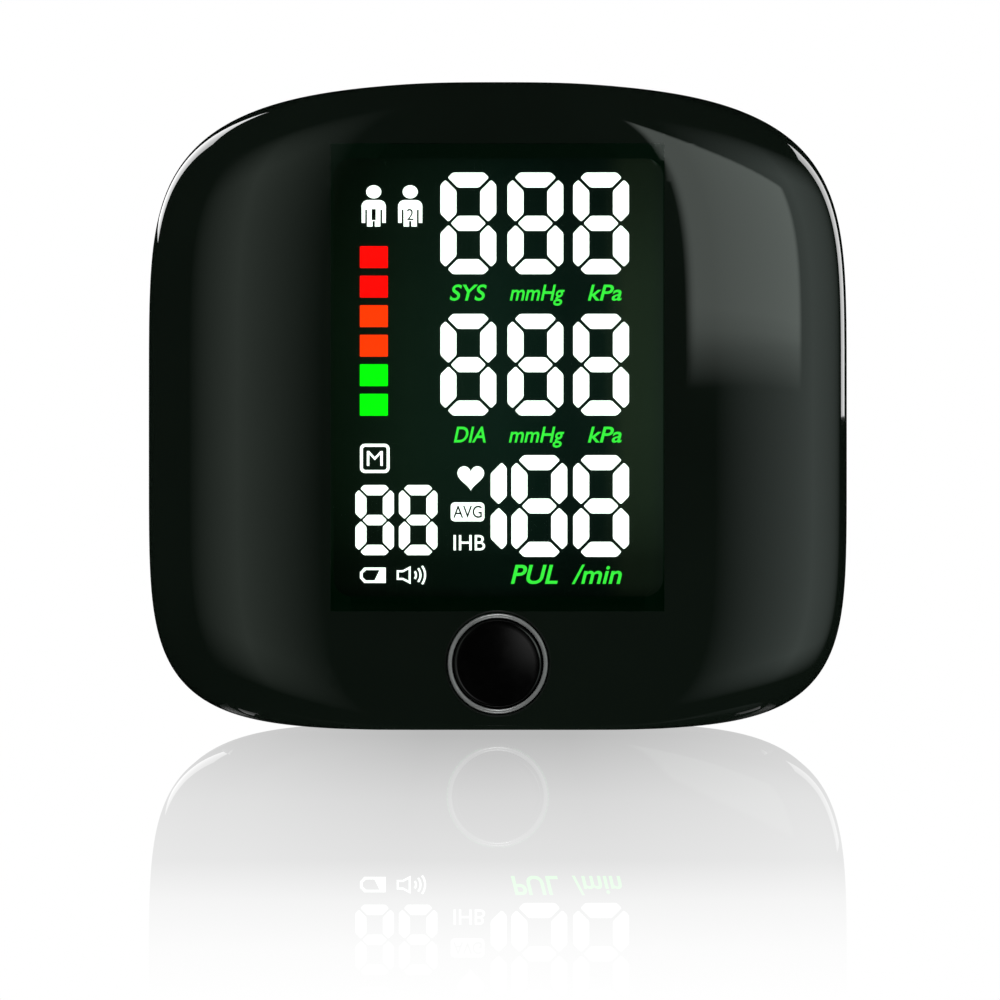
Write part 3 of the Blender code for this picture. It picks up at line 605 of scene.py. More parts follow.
def make_rear_shell():
    edge = PARTING_Y + PART_GAP
    depth = REAR_ROUNDING[3]
    back = [section(2 * REAR_Y - y) for y in rounding_depths(REAR_Y, depth, 16)]
    outside = [shrunk(back[0], 0.97), *back] + rounded_edge(edge, -1.0)
    inner_rear = REAR_Y - WALL
    inner = [section(2 * inner_rear - y, WALL) for y in rounding_depths(inner_rear, depth - WALL, 6)]
    inside = [section(edge, WALL), *reversed(inner)]
    bm = loft(outside + inside)
    shell = mesh_object("rear_shell", bm, (rear_plastic,), replaces=("rear_cover",))

    tray_low = Vector((-31.7, 5.5, 14.0))
    tray_high = Vector((31.7, inner_rear + 0.5, 74.5))
    solids = [block(tray_low, tray_high)]
    ledge_low = (-34.6, inner_rear - 1.7, 11.5)
    ledge_high = (34.6, inner_rear + 0.5, 76.9)
    solids.append(block(ledge_low, ledge_high))
    centres = [sum(box(f"case_screw_{i}"), Vector()) / 2 for i in range(1, 5)]
    post = ((0, 0), (3.75, 0), (3.75, 27.0), (0, 27.0))
    for centre in centres:
        solids.append(turned(post, (centre.x, edge + 0.3, centre.z), steps=36))
    boolean(shell, solids, "UNION")

    cuts = [block((-30.2, 7.0, 15.5), (30.2, REAR_Y + 2, 73.0))]
    outline = rounded_outline((-32.3, DOOR_LOW.z - 0.3), (32.3, DOOR_HIGH.z + 0.3), 1.2)
    cuts.append(slab(outline, REAR_Y - 2.3, REAR_Y + 2))
    pin_bore = ((0, 0), (0.7, 0), (0.7, 67.2), (0, 67.2))
    cuts.append(turned(pin_bore, (-33.6, *DOOR_AXIS), "X", 16))
    notch = ((0, 0), (5.6, 0), (6.3, 0.25), (6.9, 0.9), (7.5, 3.0), (0, 3.0))
    cuts.append(turned(notch, (0, REAR_Y - 1.4, DOOR_HIGH.z), steps=64))
    bore = ((0, 0), (1.6, 0), (1.6, 11.0), (2.9, 11.0), (2.9, 30.9), (3.3, 31.5), (3.3, 34.0), (0, 34.0))
    for centre in centres:
        cuts.append(turned(bore, (centre.x, -7.0, centre.z), steps=44))
    for i in range(1, 5):
        low, high = box(f"foot_{i}")
        seat = (high.x - low.x) / 2 + 0.2
        profile = ((0, 0), (seat, 0), (seat, 0.8), (seat + 0.3, 1.1), (seat + 0.3, 4), (0, 4))
        cuts.append(turned(profile, ((low.x + high.x) / 2, REAR_Y - 1.1, (low.z + high.z) / 2), steps=48))
    socket_y = (SOCKET_LOW.y + SOCKET_HIGH.y) / 2
    socket_z = (SOCKET_LOW.z + SOCKET_HIGH.z) / 2
    bore = ((0, 0), (6.3, 0), (6.3, 3.0), (5.75, 3.45), (5.75, 8.0), (0, 8.0))
    cuts.append(turned(bore, (-HALF_WIDTH - 3, socket_y, socket_z), "X", 64))
    port_y = (PORT_LOW.y + PORT_HIGH.y) / 2
    port_z = (PORT_LOW.z + PORT_HIGH.z) / 2
    port_low = (HALF_WIDTH - 5, port_y - 1.9, port_z - 4.8)
    port_high = (HALF_WIDTH + 3, port_y + 1.9, port_z + 4.8)
    cuts.append(block(port_low, port_high, 1.5, 5))
    speaker_x = (SPEAKER_LOW.x + SPEAKER_HIGH.x) / 2
    speaker_z = (SPEAKER_LOW.z + SPEAKER_HIGH.z) / 2
    for i in range(-2, 3):
        x = speaker_x + SLOT_PITCH * i
        half = math.sqrt(SLOT_FIELD_RADIUS**2 - (SLOT_PITCH * i) ** 2)
        outline = rounded_outline((x - 0.65, speaker_z - half), (x + 0.65, speaker_z + half), 0.62, 5)
        cuts.append(slab(outline, REAR_Y - 4.0, REAR_Y + 2.0))
    boolean(shell, cuts)


# ---- display graphics


def prism(bm, outline, front, back):
    """An upright slab from an (x, z) outline, between two depths."""
    ahead = [bm.verts.new((x, front, z)) for x, z in outline]
    behind = [bm.verts.new((x, back, z)) for x, z in outline]
    bm.faces.new(ahead)
    bm.faces.new(behind)
    for i in range(len(outline)):
        j = (i + 1) % len(outline)
        bm.faces.new((ahead[i], ahead[j], behind[j], behind[i]))


def slab(outline, front, back):
    """A prism in a bmesh of its own."""
    bm = bmesh.new()
    prism(bm, outline, front, back)
    return bm


def frame_between(bm, outer, inner, front, back):
    """A slab between an outer and an inner outline with as many points."""
    sides = ((outer, front), (outer, back), (inner, back), (inner, front))
    rows = [[bm.verts.new((x, y, z)) for x, z in line] for line, y in sides]
    for row, following in zip(rows, rows[1:] + rows[:1]):
        for i in range(len(outer)):
            j = (i + 1) % len(outer)
            bm.faces.new((row[i], row[j], following[j], following[i]))


GRAPHIC_FRONT = FILM_LOW.y - 0.50
GRAPHIC_BACK = FILM_LOW.y - 0.28
INK_FRONT = GRAPHIC_FRONT - 0.10
INK_BACK = GRAPHIC_FRONT - 0.02
GRAPHIC_DEPTHS = (GRAPHIC_FRONT, GRAPHIC_BACK)
INK_DEPTHS = (INK_FRONT, INK_BACK)
SHIFT_X = (FILM_LOW.x + FILM_HIGH.x) / 2
SHIFT_Z = FILM_LOW.z - 22.0

DIGIT_WIDTH = 9.83
COLUMNS = (-10.10, 1.71, 13.27)
ROW_TOPS = (98.14, 73.25, 48.37)
SMALL_LEFTS = (-25.07, -17.41)
SMALL_TOP = 43.12
SMALL_SCALE = 0.69

# One digit's segments, in thousandths of its width
DIGIT_UNITS = (417.0, 759.0)
LEVEL_THICK = 112.0
UPRIGHT_THICK = 120.0
CHAMFER = 92.0
HALF_GAP = 17.0
WAIST_GAP = 12.0
CORNER_SOFTNESS = 14.0


def segment_outlines():
    """The seven segments as polygons, x to the right and z down from the digit's top left corner."""
    w, h = DIGIT_UNITS
    t, v, c, g = LEVEL_THICK, UPRIGHT_THICK, CHAMFER, HALF_GAP
    mid = h / 2
    near, deep = (c + g) / 2, (c - g) / 2
    top = ((c, 0), (w - c, 0), (w - near, deep), (w - t - g, t), (t + g, t), (near, deep))
    end = mid - WAIST_GAP
    left = ((0, c), (deep, near), (v, v + g), (v, end - v / 2), (v / 2, end), (0, end - v / 2))
    reach = v / 2 + g
    bar = (
        (reach, mid),
        (reach + t / 2, mid - t / 2),
        (w - reach - t / 2, mid - t / 2),
        (w - reach, mid),
        (w - reach - t / 2, mid + t / 2),
        (reach + t / 2, mid + t / 2),
    )
    return {
        "a": top,
        "b": [(w - x, z) for x, z in left],
        "c": [(w - x, h - z) for x, z in left],
        "d": [(x, h - z) for x, z in top],
        "e": [(x, h - z) for x, z in left],
        "f": left,
        "g": bar,
    }


def softened(outline, radius):
    """The outline with each corner cut back a little and rounded."""
    points = []
    count = len(outline)
    for i in range(count):
        before, here, after = (Vector(outline[(i + k) % count]) for k in (-1, 0, 1))
        back, on = before - here, after - here
        reach = min(radius, back.length * 0.4, on.length * 0.4)
        start, end = here + back.normalized() * reach, here + on.normalized() * reach
        for t in (0.0, 0.33, 0.67, 1.0):
            points.append((1 - t) ** 2 * start + 2 * t * (1 - t) * here + t**2 * end)
    return points


def digit(bm, left, top, scale=1.0, on="abcdefg"):
    unit = DIGIT_WIDTH * scale / DIGIT_UNITS[0]
    for name, outline in segment_outlines().items():
        if name in on:
            shape = [(left + x * unit, top - z * unit) for x, z in softened(outline, CORNER_SOFTNESS)]
            prism(bm, placed(shape), *GRAPHIC_DEPTHS)


def glyphs(text, slant, weight):
    """The letters' mesh from the built-in font, and the foot and top of a capital."""
    made = []
    for body in ("H", text):
        curve = bpy.data.curves.new("letters", "FONT")
        curve.body = body
        curve.shear = slant
        curve.offset = weight
        curve.extrude = 0.1
        curve.resolution_u = 6
        obj = bpy.data.objects.new("letters", curve)
        bpy.context.scene.collection.objects.link(obj)
        bpy.context.view_layer.update()
        graph = bpy.context.evaluated_depsgraph_get()
        mesh = bpy.data.meshes.new_from_object(obj.evaluated_get(graph))
        bpy.data.objects.remove(obj)
        made.append(mesh)
    heights = [v.co.y for v in made[0].vertices]
    return made[1], min(heights), max(heights)


def lettering(bm, text, left, right, base, cap, slant=0.0, weight=0.0, depths=GRAPHIC_DEPTHS):
    """Letters between left and right, standing on base, with capitals this high."""
    mesh, low, high = glyphs(text, slant, weight)
    front, back = depths
    start = min(v.co.x for v in mesh.vertices)
    end = max(v.co.x for v in mesh.vertices)
    across, up = (right - left) / (end - start), cap / (high - low)
    made = []
    for v in mesh.vertices:
        x = SHIFT_X + left + (v.co.x - start) * across
        z = SHIFT_Z + base + (v.co.y - low) * up
        made.append(bm.verts.new((x, front if v.co.z > 0 else back, z)))
    for polygon in mesh.polygons:
        try:
            bm.faces.new([made[i] for i in polygon.vertices])
        except ValueError:
            continue
    bmesh.ops.remove_doubles(bm, verts=made, dist=1e-4)


def graphic(name, bm, material):
    return mesh_object(name, bm, (material,), sharp=20.0)


def oval(x, z, radius, squeeze, steps=24):
    angles = [math.tau * k / steps for k in range(steps)]
    return [(x + radius * math.cos(a), z + radius * squeeze * math.sin(a)) for a in angles]


def placed(points):
    return [(SHIFT_X + x, SHIFT_Z + z) for x, z in points]


def stroke(bm, points, width):
    """An open line of this width through the points, with square ends."""
    points = [Vector(p) for p in points]
    sides = []
    for sign in (1, -1):
        line = []
        for i, here in enumerate(points):
            ahead = (points[min(i + 1, len(points) - 1)] - points[max(i - 1, 0)]).normalized()
            line.append((here.x - sign * ahead.y * width / 2, here.y + sign * ahead.x * width / 2))
        sides.append(line)
    prism(bm, placed(sides[0] + sides[1][::-1]), *GRAPHIC_DEPTHS)


# A user figure's arm, side and leg, out from its middle line, and the heights of their corners
FIGURE_SIDE = (
    (2.12, 89.28), (1.50, 89.28), (1.50, 91.60), (1.18, 91.60), (1.17, 88.63), (0.20, 88.63), (0.20, 89.60),
)


def make_user_figures(white, ink):
    """Two small users: a head, round shoulders, two arms and a body, with a number on the chest."""
    figures = bmesh.new()
    numbers = bmesh.new()
    for centre, label in ((-21.85, "1"), (-15.42, "2")):
        prism(figures, placed(oval(centre, 94.74, 1.34, 0.87)), *GRAPHIC_DEPTHS)
        edge = centre - 2.14
        shoulders = [(edge + 1.1 * (1 - math.cos(a)), 92.19 + 1.1 * math.sin(a)) for a in arc(0, 90, 6)]
        shoulders += [(2 * centre - x, z) for x, z in reversed(shoulders)]
        right = [(centre + x, z) for x, z in FIGURE_SIDE]
        left = [(centre - x, z) for x, z in reversed(FIGURE_SIDE)]
        prism(figures, placed(shoulders + right + left), *GRAPHIC_DEPTHS)
        width = 0.72 if label == "1" else 1.15
        left, right = centre - width / 2, centre + width / 2
        lettering(numbers, label, left, right, 89.75, 1.95, depths=INK_DEPTHS)
    graphic("user_figures", figures, white)
    graphic("user_numbers", numbers, ink)


def arc(start, end, steps):
    """Angles in radians between two in degrees."""
    return [math.radians(start + (end - start) * k / steps) for k in range(steps + 1)]


def make_small_icons(white, ink):
    icons = bmesh.new()
    prints = bmesh.new()
    # Memory box
    outer = rounded_outline((-24.26, 45.24), (-19.05, 50.38), 0.85, 5)
    inner = rounded_outline((-23.75, 45.77), (-19.56, 49.85), 0.45, 5)
    frame_between(icons, placed(outer), placed(inner), *GRAPHIC_DEPTHS)
    lettering(icons, "M", -23.05, -20.25, 46.50, 2.60)
    # Heart
    heart = []
    for k in range(48):
        a = math.tau * k / 48
        x = 16 * math.sin(a) ** 3
        z = 13 * math.cos(a) - 5 * math.cos(2 * a) - 2 * math.cos(3 * a) - math.cos(4 * a)
        heart.append((-4.76 + x * 2.36 / 16, 44.62 + z * 2.215 / 14.6))
    prism(icons, placed(heart), *GRAPHIC_DEPTHS)
    # Average
    plate = rounded_outline((-8.28, 36.71), (-2.35, 40.06), 0.7, 5)
    prism(icons, placed(plate), *GRAPHIC_DEPTHS)
    lettering(prints, "AVG", -7.85, -2.80, 37.35, 2.10, weight=0.006, depths=INK_DEPTHS)
    # Irregular heartbeat
    lettering(icons, "IHB", -7.79, -2.24, 31.62, 2.69, weight=0.004)
    # Battery
    low, high = (-24.26, 25.88), (-19.73, 28.59)
    line = 0.44
    outer = [
        (high[0], low[1]),
        (high[0], high[1]),
        (low[0] + 0.75, high[1]),
        (low[0] + 0.20, high[1] - 0.62),
        (low[0], high[1] - 0.80),
        (low[0], low[1] + 0.80),
        (low[0] + 0.20, low[1] + 0.62),
        (low[0] + 0.75, low[1]),
    ]
    middle = ((low[0] + high[0]) / 2 + 0.1, (low[1] + high[1]) / 2)
    span = ((high[0] - low[0]) / 2, (high[1] - low[1]) / 2)
    inner = []
    for x, z in outer:
        inner_x = middle[0] + (x - middle[0]) * (1 - line / span[0])
        inner.append((inner_x, middle[1] + (z - middle[1]) * (1 - line / span[1])))
    frame_between(icons, placed(outer), placed(inner), *GRAPHIC_DEPTHS)
    charge = ((-20.0, 26.2), (-20.0, 28.3), (-20.75, 28.3), (-21.75, 26.2))
    prism(icons, placed(charge), *GRAPHIC_DEPTHS)
    # Speaker
    outer = (
        (-17.79, 26.42), (-17.79, 28.10), (-16.75, 28.10), (-15.35, 28.85), (-15.35, 25.68), (-16.75, 26.42)
    )
    inner = (
        (-17.45, 26.76), (-17.45, 27.76), (-16.65, 27.76), (-15.69, 28.28), (-15.69, 26.25), (-16.65, 26.76)
    )
    frame_between(icons, placed(outer), placed(inner), *GRAPHIC_DEPTHS)
    for radius, spread in ((1.05, 38.0), (1.85, 40.0), (2.65, 37.0)):
        angles = arc(-spread, spread, 10)
        wave = [(-15.45 + radius * math.cos(a), 27.26 + radius * math.sin(a)) for a in angles]
        stroke(icons, wave, 0.36)
    graphic("status_icons", icons, white)
    graphic("average_print", prints, ink)


def make_display():
    white = lit("lit_white", (1.0, 1.0, 1.0), 2.1)
    green = lit("lit_green", (0.05, 0.95, 0.06), 1.15)
    ink = finish("dark_print", (0.008, 0.012, 0.009), 0.5, (600.0, 0.2), (400.0, 0.08), (2500.0, 0.003))
    for name, top in (("sys_digits", ROW_TOPS[0]), ("dia_digits", ROW_TOPS[1])):
        bm = bmesh.new()
        for left in COLUMNS:
            digit(bm, left, top)
        graphic(name, bm, white)
    bm = bmesh.new()
    digit(bm, 1.57 - DIGIT_WIDTH, ROW_TOPS[2], on="bc")
    digit(bm, 2.40, ROW_TOPS[2])
    digit(bm, COLUMNS[2], ROW_TOPS[2])
    graphic("pulse_digits", bm, white)
    bm = bmesh.new()
    for left in SMALL_LEFTS:
        digit(bm, left, SMALL_TOP, SMALL_SCALE)
    graphic("memory_digits", bm, white)

    bm = bmesh.new()
    slant, weight = 0.24, 0.014
    legends = (
        ("SYS", -8.46, -1.94, 75.6, 2.8),
        ("mmHg", 2.11, 11.80, 75.6, 2.8),
        ("kPa", 15.85, 21.84, 75.6, 2.8),
        ("DIA", -7.75, -2.12, 50.6, 2.8),
        ("mmHg", 1.94, 11.71, 50.6, 2.8),
        ("kPa", 15.85, 21.84, 50.6, 2.8),
        ("PUL", 2.29, 10.57, 25.72, 3.35),
        ("/min", 13.03, 21.84, 25.72, 3.35),
    )
    for text, left, right, base, cap in legends:
        lettering(bm, text, left, right, base, cap, slant, weight)
    graphic("legends", bm, green)

    colours = (
        ("bars_red", (1.0, 0.0002, 0.0), 1.9),
        ("bars_orange", (1.0, 0.030, 0.0), 1.9),
        ("bars_green", (0.0, 1.0, 0.001), 1.6),
    )
    for pair, (name, colour, strength) in enumerate(colours):
        bm = bmesh.new()
        for i in (2 * pair, 2 * pair + 1):
            top = 85.17 - 5.2 * i
            outline = rounded_outline((-24.28, top - 3.84), (-19.36, top), 0.12, 3)
            prism(bm, placed(outline), *GRAPHIC_DEPTHS)
        graphic(name, bm, lit("lit_" + name, colour, strength))
    make_user_figures(white, ink)
    make_small_icons(white, ink)
    bm = bmesh.new()
    inner = rounded_outline(LIT_LOW, LIT_HIGH, 3.2, 8)
    low = (WINDOW_LOW[0] - 1, WINDOW_LOW[1] - 0.25)
    outer = rounded_outline(low, (WINDOW_HIGH[0] + 1, WINDOW_HIGH[1] + 1), 0.5, 8)
    frame_between(bm, outer, inner, INNER_FRONT + 0.03, INNER_FRONT + 0.08)
    # The mask's finish carries a painted green glow and a painted shadow near its bottom edge.
    mesh_object("window_mask", bm, (make_mask_painted_light(),))


# ---- button, ring, door and fittings


def make_button_and_ring():
    x, z = (CAP_LOW.x + CAP_HIGH.x) / 2, (CAP_LOW.z + CAP_HIGH.z) / 2
    radius = 7.75
    dish = [(radius * 0.92 * k / 10, 0.30 * (1 - (k / 10) ** 2)) for k in range(11)]
    edge = [(radius - 0.45 + 0.45 * math.sin(a), 0.45 * (1 - math.cos(a))) for a in arc(15, 90, 5)]
    depth = CAP_HIGH.y - CAP_LOW.y
    flange = 3.4
    tail = [(radius, flange), (8.55, flange), (8.55, flange + 0.8), (2.5, flange + 0.8)]
    tail += [(2.5, depth), (0, depth)]
    bm = turned(dish + edge + tail, (x, CAP_LOW.y, z), steps=96)
    mesh_object("button_cap", bm, (button_gloss,), "start_button", ("start_button",))

    outer, inner = RING_OUTER, 8.05
    depth = RING_HIGH.y - RING_LOW.y
    middle, half = (outer + inner) / 2, (outer - inner) / 2
    crown = [(middle + half * math.cos(a), half * (1 - math.sin(a))) for a in arc(0, 180, 10)]
    profile = crown + [(inner, depth), (outer, depth)]
    bm = turned(profile, (0, RING_LOW.y, BUTTON_Z), steps=128)
    mesh_object("button_bezel", bm, (ring_chrome,), "root", ("button_ring",))


def make_door():
    """The door with its rolled hinge edge, a field of grip ribs and two slots that free the latch."""
    axis_y, axis_z = DOOR_AXIS
    radius, half, corner, chamfer = 1.0, 32.0, 0.5, 0.25
    front, back, top = axis_y - radius, axis_y + radius, DOOR_HIGH.z
    profile = [(axis_y + radius * math.cos(a), axis_z - radius * math.sin(a)) for a in arc(0, 180, 12)]
    profile += [(front, top - corner), (front + corner, top), (back - corner, top), (back, top - corner)]
    middle_z = (axis_z + top) / 2
    rings = []
    for x in (-half, -half + chamfer, half - chamfer, half):
        trim = chamfer if abs(x) == half else 0.0
        deep, tall = 1 - trim / radius, 1 - trim / 31.0
        ring = [(axis_y + (y - axis_y) * deep, middle_z + (z - middle_z) * tall) for y, z in profile]
        rings.append([(x, y, z) for y, z in ring])
    bm = loft(rings)
    door = mesh_object("battery_lid", bm, (door_plastic,), "battery_door", ("battery_door",))
    pins = []
    for start, end in ((-half - 1.2, -half + 1), (half - 1, half + 1.2)):
        pin = ((0, 0), (0.5, 0), (0.5, end - start), (0, end - start))
        pins.append(turned(pin, (start, axis_y, axis_z), "X", 16))
    boolean(door, pins, "UNION")
    cuts = []
    for side in (-1, 1):
        outline = rounded_outline((side * 8 - 0.5, top - 9), (side * 8 + 0.5, top + 3), 0.48, 5)
        cuts.append(slab(outline, REAR_Y - 3, REAR_Y + 1))
    boolean(door, cuts)
    ribs = bmesh.new()
    for i in range(5):
        z = top - 8.2 + 1.35 * i
        half_x = 6.2 - 0.35 * abs(i - 2)
        outline = rounded_outline((-half_x, z - 0.34), (half_x, z + 0.34), 0.33, 5)
        prism(ribs, outline, REAR_Y - 0.2, REAR_Y + 0.28)
    mesh_object("lid_grip", ribs, (door_plastic,), "battery_door")


def make_feet():
    for i in range(1, 5):
        low, high = box(f"foot_{i}")
        radius, depth, rolled = (high.x - low.x) / 2, high.y - low.y, 0.5
        side, top = radius - rolled, depth - rolled
        edge = [(side + rolled * math.sin(a), top + rolled * math.cos(a)) for a in arc(0, 90, 5)]
        crown = [(0, depth - 0.12), (radius - 1.6, depth - 0.12), (radius - 1.3, depth)]
        at = ((low.x + high.x) / 2, low.y, (low.z + high.z) / 2)
        bm = turned([*crown, *edge, (radius, 0), (0, 0)], at, steps=48)
        mesh_object(f"rubber_foot_{i}", bm, (black_rubber,), "root", (f"foot_{i}",))


def make_socket():
    """The hose socket's mouth, with a rolled lip and a fine inner step."""
    y, z = (SOCKET_LOW.y + SOCKET_HIGH.y) / 2, (SOCKET_LOW.z + SOCKET_HIGH.z) / 2
    lip = [(5.5 - 0.6 + 0.6 * math.sin(a), 0.6 * (1 - math.cos(a))) for a in arc(0, 90, 5)]
    mouth = [(3.5, 0.5), (3.65, 0.15), (4.0, 0.0)]
    flange = [(5.5, 4.0), (6.8, 4.0), (6.8, 5.4), (5.5, 5.4), (5.5, 9.6)]
    nozzle = [(1.5, 9.6), (1.5, 13.4), (0.7, 13.4), (0.7, 8.1), (3.5, 8.1)]
    bm = turned([*mouth, *lip, *flange, *nozzle], (SOCKET_LOW.x, y, z), "X", 64)
    mesh_object("hose_socket", bm, (grey_plastic,), "root", ("air_socket",))


def finish_cad_nodes():
    """A procedural material on every CAD node that still shows."""
    board = make_board_finish()
    cell_up = make_cell_finish("cell_plus_up", "battery_1", True)
    cell_down = make_cell_finish("cell_plus_down", "battery_2", False)
    steel_parts = "battery_spring contact_ case_screw display_screw board_screw charging_port "
    steel_parts += "pump_motor pump_shaft valve_spring"
    by_prefix = (  # the first that fits
        (steel_parts, plated_steel),
        ("battery_1 battery_3", cell_up),
        ("battery_2 battery_4", cell_down),
        ("battery_door", door_plastic),
        ("display_board main_board", board),
        # The film's finish carries a painted green glow and painted shade towards its top and bottom.
        ("display_film", make_film_painted_light()),
        ("display_housing switch_plunger", white_plastic),
        ("pump_sleeve pump_diaphragm foot_", black_rubber),
        ("tube_", tube_silicone),
        ("pump_ valve_ air_ pressure_sensor", grey_plastic),
        ("front_cover", front_gloss),
        ("rear_cover", rear_plastic),
        ("start_button", button_gloss),
        ("button_ring", ring_chrome),
    )
    for name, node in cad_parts.items():
        found = (made for prefixes, made in by_prefix if name.startswith(tuple(prefixes.split())))
        node.data.materials.clear()
        node.data.materials.append(next(found, black_plastic))


# ---- stage, lights and camera

CAMERA_AT = Vector((0.00039, -1.6, 0.04048))
FLOOR_RADIUS = 6.0
# How clear the floor is at these distances from the middle, in millimetres
MIRROR_STOPS = ((61, 0.51), (206, 0.43), (392, 0.32), (593, 0.24), (694, 0.10), (794, 0.026), (875, 0.0))
SIDE_FADE = (0.012, 0.062, 1.0, 0.62)
SUBJECT = Vector((0.0, 0.0, 0.055))  # what the soft boxes face
SOFT_BOX_POINTS = 41


def stage_object(name, mesh, material, floor=False):
    """A stage mesh, in metres: the camera sees the floor, and only gloss shows a soft box."""
    mesh.shade_smooth()
    mesh.materials.append(material)
    obj = bpy.data.objects.new(name, mesh)
    bpy.context.scene.collection.objects.link(obj)
    obj.visible_camera = floor
    obj.visible_diffuse = floor
    obj.visible_glossy = not floor
    obj.visible_transmission = not floor
    obj.visible_shadow = False
    obj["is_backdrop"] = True
    return obj


def stage_material(name):
    """An empty material, its node tree and the socket its surface goes into."""
    material = bpy.data.materials.new(name)
    material.use_nodes = True
    tree = material.node_tree
    tree.nodes.clear()
    return material, tree, tree.nodes.new("ShaderNodeOutputMaterial").inputs["Surface"]


def emitter(name):
    """A clear surface that shines with the colours stored in its mesh."""
    material, tree, surface = stage_material(name)
    emission = tree.nodes.new("ShaderNodeEmission")
    clear = tree.nodes.new("ShaderNodeBsdfTransparent")
    both = tree.nodes.new("ShaderNodeAddShader")
    glow = tree.nodes.new("ShaderNodeAttribute")
    glow.attribute_name = "glow"
    tree.links.new(glow.outputs["Color"], emission.inputs["Color"])
    tree.links.new(emission.outputs["Emission"], both.inputs[0])
    tree.links.new(clear.outputs["BSDF"], both.inputs[1])
    tree.links.new(both.outputs["Shader"], surface)
    return material


def make_floor():
    """A white floor that lets the mirror image through near the object and is plain white further off."""
    material, tree, surface = stage_material("floor")
    emission = tree.nodes.new("ShaderNodeEmission")
    clear = tree.nodes.new("ShaderNodeBsdfTransparent")
    mix = tree.nodes.new("ShaderNodeMixShader")
    place = tree.nodes.new("ShaderNodeTexCoord").outputs["Object"]
    distance = tree.nodes.new("ShaderNodeVectorMath")
    distance.operation = "LENGTH"
    share = tree.nodes.new("ShaderNodeMapRange")
    last = MIRROR_STOPS[-1][0]
    share.inputs["From Max"].default_value = last * MM
    ramp = tree.nodes.new("ShaderNodeValToRGB")
    elements = ramp.color_ramp.elements
    for i, (at, value) in enumerate(MIRROR_STOPS):
        element = elements[i] if i < 2 else elements.new(at / last)
        element.position = at / last
        element.color = (value, value, value, 1.0)
    split = tree.nodes.new("ShaderNodeSeparateXYZ")
    across = tree.nodes.new("ShaderNodeMath")
    across.operation = "ABSOLUTE"
    fade = tree.nodes.new("ShaderNodeMapRange")
    for socket, value in zip(MAP_RANGE_SOCKETS, SIDE_FADE):
        fade.inputs[socket].default_value = value
    product = tree.nodes.new("ShaderNodeMath")
    product.operation = "MULTIPLY"
    for output, socket in (
        (place, split.inputs[0]),
        (split.outputs["X"], across.inputs[0]),
        (across.outputs[0], fade.inputs["Value"]),
        (place, distance.inputs[0]),
        (distance.outputs["Value"], share.inputs["Value"]),
        (share.outputs["Result"], ramp.inputs["Fac"]),
        (ramp.outputs["Color"], product.inputs[0]),
        (fade.outputs["Result"], product.inputs[1]),
        (product.outputs[0], mix.inputs["Fac"]),
        (emission.outputs[0], mix.inputs[1]),
        (clear.outputs[0], mix.inputs[2]),
        (mix.outputs[0], surface),
    ):
        tree.links.new(output, socket)
    bm = bmesh.new()
    bmesh.ops.create_circle(bm, cap_ends=True, segments=96, radius=FLOOR_RADIUS)
    mesh = bpy.data.meshes.new("floor")
    bm.to_mesh(mesh)
    bm.free()
    stage_object("floor", mesh, material, floor=True)


def make_mirror_image():
    """The object upside down below the floor, which shows through it as a reflection."""
    group = bpy.data.collections.new("mirror_image")
    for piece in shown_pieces():
        group.objects.link(piece)
    image = bpy.data.objects.new("mirror_image", None)
    image.instance_type = "COLLECTION"
    image.instance_collection = group
    image.scale = (1.0, 1.0, -1.0)
    image.visible_diffuse = False
    image.visible_shadow = False
    bpy.context.scene.collection.objects.link(image)
    image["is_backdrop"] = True


def soft_box(name, at, size, feather, strength, tint, only=()):
    """A plain soft box aimed at the object, dimmer towards its edges, that shows in gloss alone.

    The feather is the share of each half, across and up, over which it dims.
    """
    centre = Vector(at)
    across = (SUBJECT - centre).cross(Vector((0.0, 0.0, 1.0))).normalized()
    up = across.cross(SUBJECT - centre).normalized()
    places = np.linspace(-1.0, 1.0, SOFT_BOX_POINTS)
    u, v = np.meshgrid(places, places, indexing="ij")
    across, up = np.array(across) * size[0] / 2, np.array(up) * size[1] / 2
    points = np.array(centre) + u[..., None] * across + v[..., None] * up
    index = np.arange(u.size).reshape(u.shape)
    faces = np.stack((index[:-1, :-1], index[:-1, 1:], index[1:, 1:], index[1:, :-1]), -1).reshape(-1, 4)
    mesh = bpy.data.meshes.new(name)
    mesh.from_pydata(points.reshape(-1, 3).tolist(), [], faces.tolist())
    dims = [np.clip((1 - np.abs(place)) / share, 0.0, 1.0) for place, share in zip((u, v), feather)]
    colours = np.ones((u.size, 4), np.float32)
    colours[:, :3] = (dims[0] * dims[1] * strength).reshape(-1, 1) * np.array(tint)
    mesh.attributes.new("glow", "FLOAT_COLOR", "POINT").data.foreach_set("color", colours.ravel())
    sheet = stage_object(name, mesh, emitter(name))
    if only:
        light_only(sheet, only)


def light_only(light, pieces):
    """Keeps a light to these pieces."""
    group = bpy.data.collections.new(light.name + "_receivers")
    for piece in pieces:
        group.objects.link(piece)
    light.light_linking.receiver_collection = group


def area_light(name, at, target, size, power, only=None):
    """A soft light that may light only some pieces."""
    data = bpy.data.lights.new(name, "AREA")
    data.shape = "RECTANGLE"
    data.size, data.size_y = size
    data.energy = power
    obj = bpy.data.objects.new(name, data)
    bpy.context.scene.collection.objects.link(obj)
    obj.location = at
    obj.rotation_euler = (Vector(target) - Vector(at)).to_track_quat("-Z", "Y").to_euler()
    obj.visible_camera = False
    if only:
        light_only(obj, only)


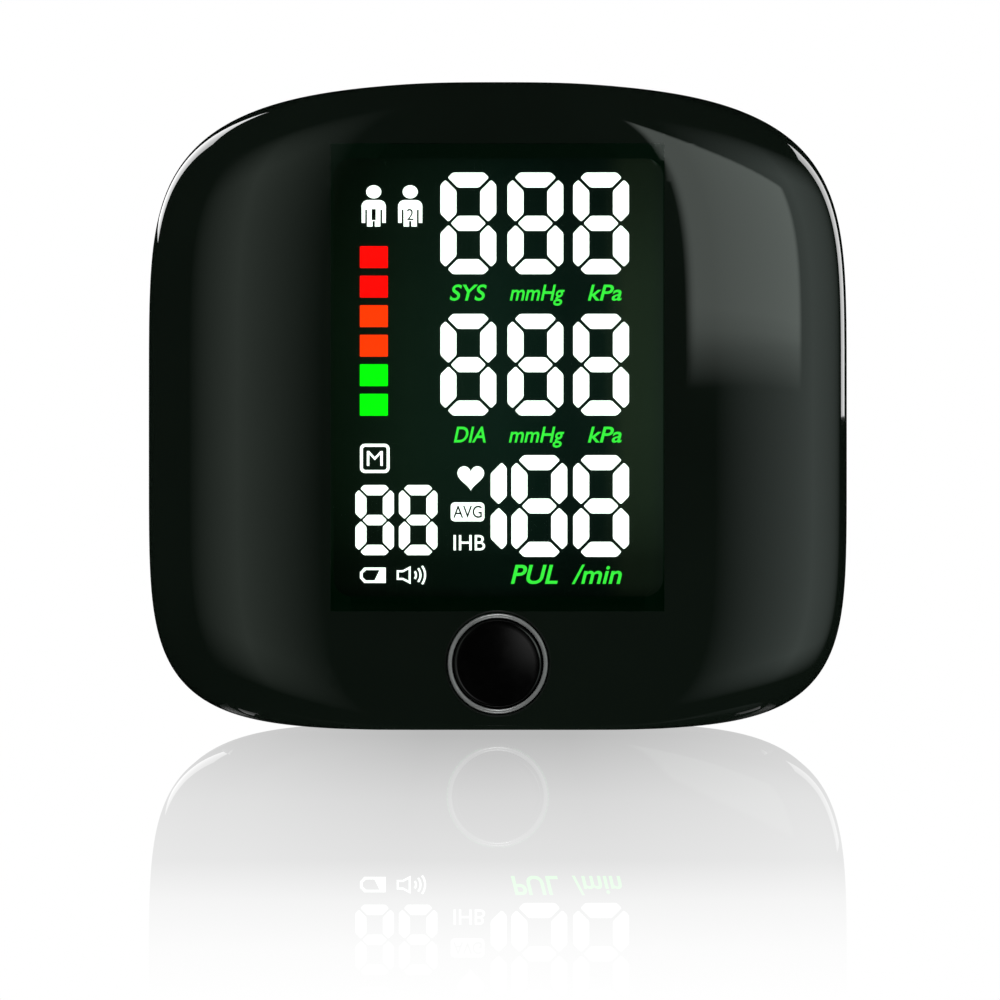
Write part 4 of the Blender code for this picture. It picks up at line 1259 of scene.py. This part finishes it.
def make_stage():
    scene = bpy.context.scene
    world = bpy.data.worlds.new("studio")
    scene.world = world
    world.use_nodes = True
    background = world.node_tree.nodes["Background"]
    background.inputs["Color"].default_value = (1.0, 1.0, 1.0, 1.0)
    world.cycles_visibility.glossy = False
    world.cycles_visibility.transmission = False
    scene.view_settings.view_transform = "Standard"
    make_floor()
    soft_box("left_box", (-0.588, -0.809, 0.12), (1.0, 1.2), (1.0, 0.6), 0.62, (0.86, 1.0, 0.88))
    soft_box("right_box", (1.02, -0.41, 0.10), (2.4, 1.8), (1.0, 0.5), 1.05, (0.86, 1.0, 0.94))
    soft_box("right_key", (0.588, -0.809, 0.26), (0.89, 0.38), (0.12, 0.12), 1.7, (0.90, 1.0, 0.93))
    middle = (0.0, 0.0, 0.055)
    front = ("front_shell", "button_cap", "button_bezel")
    behind = [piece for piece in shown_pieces() if piece.name not in front]
    area_light("back_left", (-0.9, 1.1, 0.7), middle, (0.7, 0.9), 9.0)
    area_light("back_right", (1.1, 0.9, 0.5), middle, (0.5, 0.9), 6.0)
    area_light("overhead", (0.0, 0.35, 1.1), middle, (1.0, 0.6), 6.0, behind)
    ring = bpy.data.objects["button_bezel"]
    start = (0.0, FRONT_Y * MM, BUTTON_Z * MM)
    cap = bpy.data.objects["button_cap"]
    soft_box("cap_box", (-0.20, -1.0, -0.14), (0.36, 0.36), (1.0, 1.0), 1.4, (1.0, 1.0, 1.0), (cap,))
    area_light("ring_light", (-0.05, -0.5, 1.1), start, (0.5, 0.5), 15.0, (ring,))
    area_light("ring_bounce", (0.0, -0.6, -1.0), start, (0.5, 0.5), 9.0, (ring,))

    camera = bpy.data.objects.new("camera", bpy.data.cameras.new("camera"))
    scene.collection.objects.link(camera)
    camera.location = CAMERA_AT
    camera.rotation_euler = (math.pi / 2, 0.0, 0.0)
    camera.data.lens = 322.4
    camera.data.sensor_width = 36.0
    camera.data.clip_start, camera.data.clip_end = 0.05, 50.0
    scene.camera = camera
    make_mirror_image()


finish_cad_nodes()
make_front_shell()
make_rear_shell()
make_button_and_ring()
make_door()
make_feet()
make_socket()
make_display()
make_stage()
